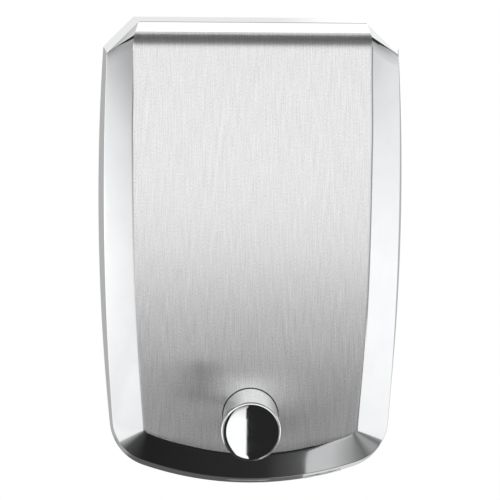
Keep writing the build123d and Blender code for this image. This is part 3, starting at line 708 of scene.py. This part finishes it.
def turned_to(way, spot):
    """Matrix that stands a shape's Z axis along a way at a spot."""
    return Matrix.Translation(spot) @ way.to_track_quat("Z", "Y").to_matrix().to_4x4()


def round_cutter(name, way, spot, radius):
    """Temporary cylinder that cuts a hole."""
    builder = bmesh.new()
    bmesh.ops.create_cone(
        builder, cap_ends=True, segments=HOLE_STEPS, radius1=radius, radius2=radius, depth=2 * CUT_REACH,
        matrix=turned_to(way, spot),
    )
    for face in builder.faces:
        face.material_index = CUT_EDGE
    return new_object(name, mesh_from(builder, name))


wall = cover.modifiers.new("wall", "SOLIDIFY")
wall.thickness = SHEET * MM
wall.offset = -1
wall.use_even_offset = True
wall.use_quality_normals = True
wall.material_offset = 2
wall.material_offset_rim = 1
keep_result(cover)
cutters = [
    round_cutter("button_cut", press_way, press_spot, BUTTON_HOLE),
    round_cutter("drip_cut", Vector((0, 0, 1)), drip_spot, DRIP_HOLE),
    round_cutter("lock_cut", lock_way, lock_spot, LOCK_HOLE),
]
for cutter in cutters:
    cut = cover.modifiers.new(cutter.name, "BOOLEAN")
    cut.operation = "DIFFERENCE"
    cut.solver = "EXACT"
    cut.object = cutter
keep_result(cover)
for cutter in cutters:
    bpy.data.objects.remove(cutter)
cover.data.shade_smooth()
shade_finished(cover, FOLD_ANGLE)
print("cover faces", len(cover.data.polygons))

# %% Grain direction of the cover
GRAIN_SCALE = 4
grain_uv = cover.data.uv_layers.new(name="grain")
for loop in cover.data.loops:
    spot = cover.data.vertices[loop.vertex_index].co
    grain_uv.data[loop.index].uv = (spot.x * GRAIN_SCALE + 0.5, spot.z * GRAIN_SCALE + 0.5)
hand_over(cover, "cover", "cover_steel", "front_cover")

# %% [markdown]
# ## The push button
#
# The button is a turned and chromed cap. A turned piece is one profile carried round its axis, so a short list of
# spots, each with its distance along the press line and its radius, is enough. Its front edge is a round. A Screw
# modifier could carry the profile round as well, but written out, the piece stands on the press line at once.


# %% Turned pieces
def turned(name, profile, way, spot, segments):
    """Closed mesh of a profile, in metres, carried round a line."""
    builder = bmesh.new()
    place = turned_to(way, spot)
    rings = []
    for along, radius in profile:
        if radius == 0:
            rings.append([builder.verts.new(place @ Vector((0, 0, along)))])
            continue
        spots = []
        for step in range(segments):
            angle = 2 * math.pi * step / segments
            corner = Vector((radius * math.cos(angle), radius * math.sin(angle), along))
            spots.append(builder.verts.new(place @ corner))
        rings.append(spots)
    for one, two in zip(rings, rings[1:]):
        for step in range(segments):
            after = (step + 1) % segments
            if len(one) == 1:
                builder.faces.new((one[0], two[step], two[after]))
            elif len(two) == 1:
                builder.faces.new((one[step], one[after], two[0]))
            else:
                builder.faces.new((one[step], one[after], two[after], two[step]))
    return new_object(name, mesh_from(builder, name))


def rounded(corner, radius, before, after, steps):
    """Spots of a quarter round that cuts a profile's corner."""
    spots = []
    for step in range(steps + 1):
        turn = math.pi / 2 * step / steps
        near, far = 1 - math.sin(turn), 1 - math.cos(turn)
        spots.append(tuple(corner[k] + radius * (before[k] * near + after[k] * far) for k in (0, 1)))
    return spots


# %% Button mesh
HEAD_FRONT = -28.0 * MM
HEAD_BACK = -25.0 * MM
HEAD_RADIUS = 11.4 * MM
BUTTON_RADIUS = 10.7 * MM
BUTTON_TAIL = 6.6 * MM
HEAD_EDGE = 0.9 * MM
CORE_FRONT = -25.8 * MM
CORE_RADIUS = 9.4 * MM
BUTTON_STEPS = 128
FRONT_EDGE_STEPS = 8
BACK_EDGE_STEPS = 5
BUTTON_ANGLE = 30
FACE_RINGS = (0, 0.5, 0.8)
# Ways in the profile, each as along and across the press line
to_axis, ahead, behind = (0, -1), (-1, 0), (1, 0)
button_profile = [(HEAD_FRONT, share * HEAD_RADIUS) for share in FACE_RINGS]
button_profile += rounded((HEAD_FRONT, HEAD_RADIUS), HEAD_EDGE, to_axis, behind, FRONT_EDGE_STEPS)
button_profile += rounded((HEAD_BACK, HEAD_RADIUS), 0.5 * HEAD_EDGE, ahead, to_axis, BACK_EDGE_STEPS)
button_profile += [(HEAD_BACK, BUTTON_RADIUS), (BUTTON_TAIL, BUTTON_RADIUS), (BUTTON_TAIL, CORE_RADIUS)]
button_profile += [(CORE_FRONT, CORE_RADIUS), (CORE_FRONT, 0)]
button = turned("chromed_button", button_profile, press_way, press_spot, BUTTON_STEPS)
button.data.materials.append(finishes["button_chrome"])
button.data.shade_smooth()
shade_finished(button, BUTTON_ANGLE)
hand_over(button, "button", "button_chrome", "push_button")

# %% [markdown]
# ## The return spring
#
# In the pump a coil of wire pushes the plunger back. A coil follows a path, so Geometry Nodes make it: a spiral
# curve gets a round section. A Screw modifier on a circle could do it, but the tree keeps its sizes as named
# inputs. The result is a plain mesh, stood on the press line.


# %% Spring tree
def end_tree(tree, source, output, end, material):
    """Ends a tree: smooth shading, real meshes in place of instances, and a material."""
    smooth = add_node(tree, "GeometryNodeSetShadeSmooth")
    real = add_node(tree, "GeometryNodeRealizeInstances")
    paint = add_node(tree, "GeometryNodeSetMaterial", Material=material)
    wire(
        tree,
        (source, output, smooth, "Geometry"),
        (smooth, "Geometry", real, "Geometry"),
        (real, "Geometry", paint, "Geometry"),
        (paint, "Geometry", end, "Geometry"),
    )


SPRING_RADIUS = 5.6 * MM
WIRE_RADIUS = 0.45 * MM
SPRING_TURNS = 4.0
SPRING_FRONT = 8.9 * MM
SPRING_BACK = 22.2 * MM
TURN_STEPS = 40
WIRE_STEPS = 14
spring_length = SPRING_BACK - SPRING_FRONT
spring_sizes = [("Turns", SPRING_TURNS), ("Radius", SPRING_RADIUS)]
spring_sizes += [("Height", spring_length - 2 * WIRE_RADIUS), ("Wire", WIRE_RADIUS)]
spring_tree, spring_in, spring_out = new_tree("Geometry", "coil_spring", spring_sizes, "Geometry")
spiral = add_node(spring_tree, "GeometryNodeCurveSpiral", Resolution=TURN_STEPS)
section = add_node(spring_tree, "GeometryNodeCurvePrimitiveCircle", Resolution=WIRE_STEPS)
tube = add_node(spring_tree, "GeometryNodeCurveToMesh")
tube.inputs["Fill Caps"].default_value = True
wire(
    spring_tree,
    (spring_in, "Turns", spiral, "Rotations"),
    (spring_in, "Radius", spiral, "Start Radius"),
    (spring_in, "Radius", spiral, "End Radius"),
    (spring_in, "Height", spiral, "Height"),
    (spring_in, "Wire", section, "Radius"),
    (spiral, "Curve", tube, "Curve"),
    (section, "Curve", tube, "Profile Curve"),
)
end_tree(spring_tree, tube, "Mesh", spring_out, finishes["spring_steel"])
print("tree", spring_tree.name, "inputs", [item.name for item in spring_tree.interface.items_tree])


def grown(name, mesh, tree):
    """Object of the plain mesh that a tree makes from another."""
    item = new_object(name, mesh)
    item.modifiers.new("tree", "NODES").node_group = tree
    keep_result(item)
    return item


spring = grown("coil_spring", bpy.data.meshes.new("coil_spring"), spring_tree)
spring.data.transform(turned_to(press_way, press_spot + press_way * (SPRING_FRONT + WIRE_RADIUS)))
hand_over(spring, "wall_unit", "pin_steel", "return_spring")
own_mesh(spring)

# %% [markdown]
# ## The rivets
#
# Seven rivets hold the arms, the hook bar and the strike to the wall plate. They repeat, so Geometry Nodes place
# one domed rivet on each point. Copies placed by hand would look the same, but would stay behind if the plate
# changed. The points come from the solids themselves: each separate rivet's middle.

# %% Rivet spots
MERGE = 0.002 * MM


def merged_copy(node):
    """Copy of a solid's mesh as a bmesh, with its loose triangles joined."""
    builder = bmesh.new()
    builder.from_mesh(frame["nodes"][node].data)
    bmesh.ops.remove_doubles(builder, verts=builder.verts, dist=MERGE)
    return builder


def middles(node):
    """Middle of each separate solid of a node, from low to high."""
    builder = merged_copy(node)
    waiting = set(builder.verts)
    spots = []
    while waiting:
        group = [waiting.pop()]
        for vertex in group:
            for edge in vertex.link_edges:
                other = edge.other_vert(vertex)
                if other in waiting:
                    waiting.remove(other)
                    group.append(other)
        low = [min(vertex.co[axis] for vertex in group) for axis in range(3)]
        high = [max(vertex.co[axis] for vertex in group) for axis in range(3)]
        spots.append((Vector(low) + Vector(high)) / 2)
    builder.free()
    return sorted(spots, key=lambda spot: (spot.z, spot.x))


rivet_low, rivet_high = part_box("plate_rivets")
rivet_spots = middles("plate_rivets")
print("rivets", len(rivet_spots), "from y", round(rivet_low.y, 4), "to", round(rivet_high.y, 4))

# %% Rivet tree
RIVET_HEAD_RADIUS = 2.8 * MM
RIVET_RADIUS = 1.5 * MM
RIVET_HEAD = 1.2 * MM
RIVET_STEPS = 32
rivet_sizes = [("Spots", None), ("Head radius", RIVET_HEAD_RADIUS), ("Head height", RIVET_HEAD)]
rivet_sizes += [("Shank radius", RIVET_RADIUS), ("Shank length", rivet_high.y - rivet_low.y - RIVET_HEAD)]
rivet_tree, rivet_in, rivet_out = new_tree("Geometry", "domed_rivets", rivet_sizes, "Geometry")
ball = add_node(rivet_tree, "GeometryNodeMeshUVSphere", Segments=RIVET_STEPS, Rings=RIVET_STEPS // 2)
ball.inputs["Radius"].default_value = 1.0
dome_size = add_node(rivet_tree, "ShaderNodeCombineXYZ")
dome = add_node(rivet_tree, "GeometryNodeTransform")
shank = add_node(rivet_tree, "GeometryNodeMeshCylinder", Vertices=RIVET_STEPS)
both = add_node(rivet_tree, "GeometryNodeJoinGeometry")
shift = add_node(rivet_tree, "ShaderNodeMath", operation="MULTIPLY")
shift.inputs[1].default_value = -0.5
shank_place = add_node(rivet_tree, "ShaderNodeCombineXYZ")
shank_move = add_node(rivet_tree, "GeometryNodeTransform")
stand = add_node(rivet_tree, "GeometryNodeInstanceOnPoints", Rotation=(math.pi / 2, 0, 0))
wire(
    rivet_tree,
    (rivet_in, "Head radius", dome_size, "X"),
    (rivet_in, "Head radius", dome_size, "Y"),
    (rivet_in, "Head height", dome_size, "Z"),
    (ball, "Mesh", dome, "Geometry"),
    (dome_size, "Vector", dome, "Scale"),
    (rivet_in, "Shank radius", shank, "Radius"),
    (rivet_in, "Shank length", shank, "Depth"),
    (rivet_in, "Shank length", shift, 0),
    (shift, "Value", shank_place, "Z"),
    (shank, "Mesh", shank_move, "Geometry"),
    (shank_place, "Vector", shank_move, "Translation"),
    (dome, "Geometry", both, "Geometry"),
    (shank_move, "Geometry", both, "Geometry"),
    (rivet_in, "Spots", stand, "Points"),
    (both, "Geometry", stand, "Instance"),
)
end_tree(rivet_tree, stand, "Instances", rivet_out, finishes["pin_steel"])
print("tree", rivet_tree.name, "nodes", len(rivet_tree.nodes))

# %% Rivet mesh
RIVET_ANGLE = 40
rivet_points = bpy.data.meshes.new("domed_rivets")
head_seat = rivet_low.y + RIVET_HEAD
rivet_points.from_pydata([(spot.x, head_seat, spot.z) for spot in rivet_spots], [], [])
rivets = grown("domed_rivets", rivet_points, rivet_tree)
rivets.data.set_sharp_from_angle(angle=math.radians(RIVET_ANGLE))
hand_over(rivets, "wall_unit", "pin_steel", "plate_rivets")

# %% [markdown]
# ## Round edges on the inner pieces
#
# The other solids have the right shapes, but their edges are sharp, and no moulded or pressed piece has such
# edges. A Bevel node in the materials could shade them round, but only rounds in the mesh change an outline. So
# a copy of each mesh is merged, its flat faces are joined again, and its edges are rounded a little.

# %% Softened copies
# In degrees: faces flatter than this are joined, sharper edges are rounded, and what stays sharp after that
FLAT_ANGLE = 0.5
EDGE_ANGLE = 25
SHARP_ANGLE = 35


def softened(node, name, width):
    """Copy of a solid's mesh with its edges rounded."""
    builder = merged_copy(node)
    bmesh.ops.dissolve_limit(
        builder, angle_limit=math.radians(FLAT_ANGLE), verts=builder.verts, edges=builder.edges, delimit={"NORMAL"}
    )
    mesh = bpy.data.meshes.new(name)
    builder.to_mesh(mesh)
    builder.free()
    mesh.shade_smooth()
    piece = new_object(name, mesh)
    bevel = piece.modifiers.new("edges", "BEVEL")
    bevel.width = width
    bevel.segments = 2
    bevel.limit_method = "ANGLE"
    bevel.angle_limit = math.radians(EDGE_ANGLE)
    bevel.use_clamp_overlap = True
    keep_result(piece)
    shade_finished(piece, SHARP_ANGLE)
    return piece


SOFTENED = [
    ("tank", "soap_tank", 0.6, "tank_plastic", "wall_unit"),
    ("tank_cap", "filler_cap", 0.4, "pump_plastic", "cap"),
    ("wall_plate", "back_plate", 0.25, "plate_steel", "wall_unit"),
    ("hook_bar", "hanging_hook", 0.25, "plate_steel", "wall_unit"),
    ("hinge_arms", "cover_arms", 0.25, "plate_steel", "wall_unit"),
    ("lock_strike", "strike_plate", 0.25, "plate_steel", "wall_unit"),
    ("hinge_leaf", "cover_leaf", 0.2, "plate_steel", "cover"),
    ("lock_cam", "lock_arm", 0.2, "plate_steel", "lock"),
    ("lock_housing", "lock_body", 0.08, "lock_chrome", "cover"),
    ("lock_barrel", "lock_plug", 0.12, "lock_chrome", "lock"),
    ("pump_barrel", "pump_body", 0.3, "pump_plastic", "wall_unit"),
    ("pump_nut", "pump_ring_nut", 0.3, "dark_plastic", "wall_unit"),
    ("plunger", "pump_plunger", 0.25, "pump_plastic", "piston"),
    ("button_bush", "button_guide", 0.25, "dark_plastic", "cover"),
    ("spout", "soap_spout", 0.25, "pump_plastic", "wall_unit"),
]
for node, name, width, slot, body in SOFTENED:
    piece = softened(node, name, width * MM)
    repaint(piece, finishes[slot])
    hand_over(piece, body, slot, node)


# %% [markdown]
# ## Finishes of the remaining solids
#
# Pins, nuts, seals and valves are small and plain, and the closed cover hides most of them. A mesh of their own
# would show nothing new, so they keep their solids, and each gets the finish of its material slot. The solids
# behind the finished pieces are painted to match.

# %% Paint the solids
PAINTED = {
    "pin_steel": "hinge_pin cap_hinge_pin bush_studs bush_nuts lock_nut cam_screw piston_screw plate_rivets",
    "spring_steel": "pin_clip return_spring",
    "dark_plastic": "button_core button_ring",
    "pump_plastic": "piston",
    "seal_rubber": "piston_seal rod_seal pump_gasket spout_seal cap_seal",
    "valve_silicone": "inlet_valve outlet_valve",
    "polished_steel": "front_cover",
    "button_chrome": "push_button",
}
painted = {node: name for name, nodes in PAINTED.items() for node in nodes.split()}
painted |= {row[0]: row[3] for row in SOFTENED}
for node, name in painted.items():
    repaint(frame["nodes"][node], finishes[name])
print("painted", len(painted), "of", len(frame["nodes"]))

# %% [markdown]
# ## The studio
#
# Polished steel shows what stands around it, so the studio is half of the look. A pale floor lies below, and
# the background is white for the camera and for reflections. Photographers shape such metal with cards: dark ones
# for the black under the chin and the band along the top, pale ones for the highlights. A small dark flag close
# beside the button paints the knob's dark reflection onto the panel as a dark smudge. A picture of a room could be
# reflected instead, but cards can be moved one at a time until each bevel shows what it should. They are seen only
# in reflections.


# %% Floor
def stage_sheet(name, corners):
    """Flat sheet of the stage between its corners, with its own material."""
    mesh = bpy.data.meshes.new(name)
    mesh.from_pydata(corners, [], [tuple(range(len(corners)))])
    material = bpy.data.materials.new(name)
    material.use_nodes = True
    mesh.materials.append(material)
    item = new_object(name, mesh)
    return item, material.node_tree


FLOOR_Z = -0.6
FLOOR_HALF = 4.0
floor_corners = [(x * FLOOR_HALF, y * FLOOR_HALF, FLOOR_Z) for x, y in ((-1, -1), (1, -1), (1, 1), (-1, 1))]
floor_shader = stage_sheet("floor", floor_corners)[1].nodes["Principled BSDF"]
floor_shader.inputs["Base Color"].default_value = (0.86, 0.86, 0.86, 1.0)
floor_shader.inputs["Roughness"].default_value = 0.9
print("floor at", FLOOR_Z)


# %% Cards
def card(name, axis, level, across, upwards, *shades):
    """Card square to an axis that only reflections see, with one brightness or one at each corner."""
    square = [(across[0], upwards[0]), (across[1], upwards[0]), (across[1], upwards[1]), (across[0], upwards[1])]
    place = "xyz".index(axis)
    item, tree = stage_sheet(name, [(*spot[:place], level, *spot[place:]) for spot in square])
    layer = item.data.color_attributes.new("shade", "FLOAT_COLOR", "CORNER")
    for corner, shade in zip(layer.data, shades if len(shades) > 1 else shades * len(square)):
        corner.color = (shade, shade, shade, 1.0)
    shader = tree.nodes["Principled BSDF"]
    shader.inputs["Base Color"].default_value = (0.0, 0.0, 0.0, 1.0)
    shader.inputs["Specular IOR Level"].default_value = 0.0
    shader.inputs["Emission Strength"].default_value = 1.0
    shade_node = add_node(tree, "ShaderNodeAttribute", attribute_name="shade")
    wire(tree, (shade_node, "Color", shader, "Emission Color"))
    for rays in ("camera", "diffuse", "shadow", "transmission"):
        setattr(item, "visible_" + rays, False)


# Cards below: from the left they fade to black under the chin, and to the right they step up again
CHIN_Z = -0.5
CHIN_DEPTH = (-0.6, -0.02)
CHIN = [(-2.5, 1.1), (-0.92, 1.05), (-0.65, 0.77), (-0.53, 0.38), (-0.455, 0.17), (-0.41, 0.084), (-0.17, 0.018)]
CHIN += [(0.03, 0.03), (0.096, 0.12)]
CHIN_RIGHT = [(0.097, 0.68), (0.14, 0.64), (0.19, 0.28), (0.29, 0.18), (0.41, 0.4), (0.5, 0.4), (0.6, 0.2)]
CHIN_RIGHT += [(0.92, 0.75), (2.5, 1.1)]
for steps in (CHIN, CHIN_RIGHT):
    for (low_x, low_shade), (high_x, high_shade) in zip(steps, steps[1:]):
        shades = (low_shade, high_shade, high_shade, low_shade)
        card(f"chin_card_{low_x}", "z", CHIN_Z, (low_x, high_x), CHIN_DEPTH, *shades)

# Cards around: front and brow for the panel, sides for the bevels, rear ones for the walls and cut corners
CARDS = [
    ("front_card", "y", -1.95, (-1.4, 1.4), (-0.33, 0.75), 1.15, 1.15, 1.05, 1.05),
    ("front_floor_card", "z", CHIN_Z, (-0.5, 0.5), (-0.9, -0.6), 0.02),
    ("floor_left_card", "z", CHIN_Z, (-0.5, -0.03), (-1.5, -0.9), 0.3),
    ("floor_middle_card", "z", CHIN_Z, (-0.03, 0.06), (-1.5, -0.9), 0.02),
    ("floor_right_card", "z", CHIN_Z, (0.06, 0.5), (-1.5, -0.9), 0.3),
    ("front_floor_left_card", "z", CHIN_Z, (-2.5, -0.5), (-1.5, -0.6), 0.4, 0.12, 0.12, 0.4),
    ("front_floor_right_card", "z", CHIN_Z, (0.5, 2.5), (-1.5, -0.6), 0.12, 0.4, 0.4, 0.12),
    ("front_floor_far_card", "z", CHIN_Z, (-2.5, 2.5), (-2.6, -1.5), 0.6, 0.6, 0.4, 0.4),
    # This flag is painted reflection: a dark sheet beside the button that puts the knob's dark reflection on the
    # panel as a smudge
    ("painted_knob_reflection_flag", "y", -0.09, (-0.0245, -0.0122), (-0.0655, -0.0475), 0.0, 0.0, 0.0, 0.1),
    ("button_card", "y", -0.9, (-0.0105, 0.0072), (-0.47, -0.404), 1.2, 1.2, 1.15, 1.15),
    ("button_fade_card", "y", -0.9, (-0.0105, 0.0068), (-0.404, -0.376), 1.15, 1.15, 0.25, 0.25),
    ("brow_card", "z", 0.6, (-0.9, 0.9), (-0.62, -0.02), 0.2, 0.2, 0.05, 0.05),
    ("crown_card", "z", 0.6, (-0.9, 0.9), (-0.02, 0.06), 1.3),
    ("brow_front_card", "z", 0.6, (-0.9, 0.9), (-0.92, -0.62), 0.9, 0.9, 0.2, 0.2),
    ("left_card", "x", -0.6, (-0.15, 0.04), (-0.05, 0.15), 0.95, 1.25, 0.95, 0.5),
    ("left_front_card", "x", -0.6, (-0.6, -0.15), (-0.05, 0.15), 0.35, 0.95, 0.5, 0.1),
    ("left_low_card", "x", -0.6, (-0.15, 0.04), (-0.2, -0.05), 1.1, 1.2, 1.25, 0.95),
    ("left_low_front_card", "x", -0.6, (-0.6, -0.15), (-0.2, -0.05), 0.9, 1.1, 0.95, 0.45),
    ("left_foot_card", "x", -0.6, (-0.6, 0.04), (-0.5, -0.2), 1.0, 1.15, 1.25, 0.9),
    ("left_high_card", "x", -0.6, (-0.2, 0.08), (0.15, 0.6), 0.45, 0.95, 0.15, 0.2),
    ("left_ridge_card", "x", -0.6, (0.08, 0.5), (0.2, 0.8), 0.03),
    ("right_card", "x", 0.6, (-0.45, 0.12), (-0.05, 0.12), 1.2, 1.22, 0.92, 0.86),
    ("right_high_card", "x", 0.6, (-0.2, 0.07), (0.12, 0.6), 0.86, 0.8, 0.05, 0.1),
    ("right_low_card", "x", 0.6, (-0.45, 0.12), (-0.42, -0.05), 1.08, 1.1, 1.22, 1.2),
    ("right_ridge_card", "x", 0.6, (0.07, 0.5), (0.2, 0.8), 0.03),
    ("right_dark_card", "x", 0.55, (-0.6, -0.2), (-0.16, 0.6), 0.4, 0.4, 0.35, 0.35),
    ("low_left_card", "y", -0.6, (-0.86, -0.35), (-0.5, -0.13), 0.45),
    ("low_right_card", "y", -0.6, (0.35, 0.86), (-0.5, -0.13), 0.3),
    ("rear_left_card", "y", 0.3, (-0.6, -0.068), (-0.2, 0.11), 0.45),
    ("rear_right_card", "y", 0.3, (0.068, 0.6), (-0.2, 0.11), 0.5),
    ("rear_high_left_card", "y", 0.4, (-0.9, -0.2), (0.39, 0.425), 0.3, 0.3, 0.8, 0.8),
    ("rear_high_right_card", "y", 0.4, (0.2, 0.9), (0.22, 0.9), 1.05),
    ("rear_low_left_card", "y", 0.3, (-0.3, 0.0), (-0.6, -0.1), 0.12, 0.1, 0.1, 0.12),
    ("rear_low_right_card", "y", 0.3, (0.0, 0.034), (-0.6, -0.1), 0.1, 0.15, 0.15, 0.1),
    ("rear_low_far_card", "y", 0.3, (0.034, 0.3), (-0.6, -0.1), 0.7, 0.5, 0.5, 0.7),
    ("under_card", "z", CHIN_Z, (-0.6, 0.6), (-0.02, 0.3), 0.05),
    ("rear_top_card", "z", 0.6, (-0.4, 0.4), (0.06, 0.9), 0.4),
    ("rear_crown_card", "y", 0.4, (-0.3, 0.02), (0.1, 0.22), 0.85),
    ("rear_crown_right_card", "y", 0.4, (0.02, 0.1), (0.1, 0.22), 0.85, 1.5, 1.5, 0.85),
]
for settings in CARDS:
    card(*settings)

# %% World
AMBIENT = 0.75
world = bpy.data.worlds.new("studio")
bpy.context.scene.world = world
world.use_nodes = True
sky = world.node_tree
background = sky.nodes["Background"]
background.inputs["Color"].default_value = (1.0, 1.0, 1.0, 1.0)
path = add_node(sky, "ShaderNodeLightPath")
seen_or_glossy = add_node(sky, "ShaderNodeMath", operation="MAXIMUM")
seen_or_through = add_node(sky, "ShaderNodeMath", operation="MAXIMUM")
strength = add_node(sky, "ShaderNodeMapRange")
strength.inputs["To Min"].default_value = AMBIENT
strength.inputs["To Max"].default_value = 1.0
wire(
    sky,
    (path, "Is Camera Ray", seen_or_glossy, 0),
    (path, "Is Glossy Ray", seen_or_glossy, 1),
    (seen_or_glossy, "Value", seen_or_through, 0),
    (path, "Is Transmission Ray", seen_or_through, 1),
    (seen_or_through, "Value", strength, "Value"),
    (strength, "Result", background, "Strength"),
)
print("world", world.name, "ambient", AMBIENT)


# %% Lamps
def softbox(name, spot, target, width, height, brightness):
    """Area lamp aimed at a target, with the brightness of its face."""
    lamp = bpy.data.lights.new(name, "AREA")
    lamp.shape = "RECTANGLE"
    lamp.size = width
    lamp.size_y = height
    lamp.energy = brightness * math.pi * width * height
    item = new_object(name, lamp)
    item.location = spot
    item.rotation_euler = (Vector(target) - Vector(spot)).to_track_quat("-Z", "Y").to_euler()


softbox("left_softbox", (-0.8, -0.02, 0.05), (0, -0.04, 0), 0.35, 0.9, 1.5)
softbox("top_softbox", (0.0, -0.02, 0.8), (0, -0.06, 0), 0.7, 0.35, 0.9)
softbox("right_softbox", (0.8, 0.0, 0.05), (0, -0.04, 0), 0.35, 0.9, 1.15)
print("lamps", [item.name for item in bpy.data.lights])

# %% [markdown]
# ## The camera
#
# The camera looks straight at the cover through a long lens, a little from the left and turned by a fraction of
# a degree. It could be set by eye, but here the lens follows from the width of the view, so the object keeps its
# size in the frame.

# %% Camera
# In metres, and the roll in degrees
CAMERA_SPOT = Vector((-0.014, -1.3, 0.0))
CAMERA_TARGET = Vector((0.0002, 0.0, 0.0))
CAMERA_ROLL = 0.38
VIEW_WIDTH = 0.20475
lens = bpy.data.cameras.new("photo_camera")
lens.sensor_width = 36.0
lens.lens = lens.sensor_width * CAMERA_SPOT.length / VIEW_WIDTH
camera = new_object("photo_camera", lens)
camera.location = CAMERA_SPOT
aim = (CAMERA_TARGET - CAMERA_SPOT).to_track_quat("-Z", "Y").to_matrix()
camera.rotation_euler = (aim @ Matrix.Rotation(math.radians(CAMERA_ROLL), 3, "Z")).to_euler()
bpy.context.scene.camera = camera
bpy.context.scene.view_settings.view_transform = "Standard"
print("lens", round(lens.lens, 1), "mm")
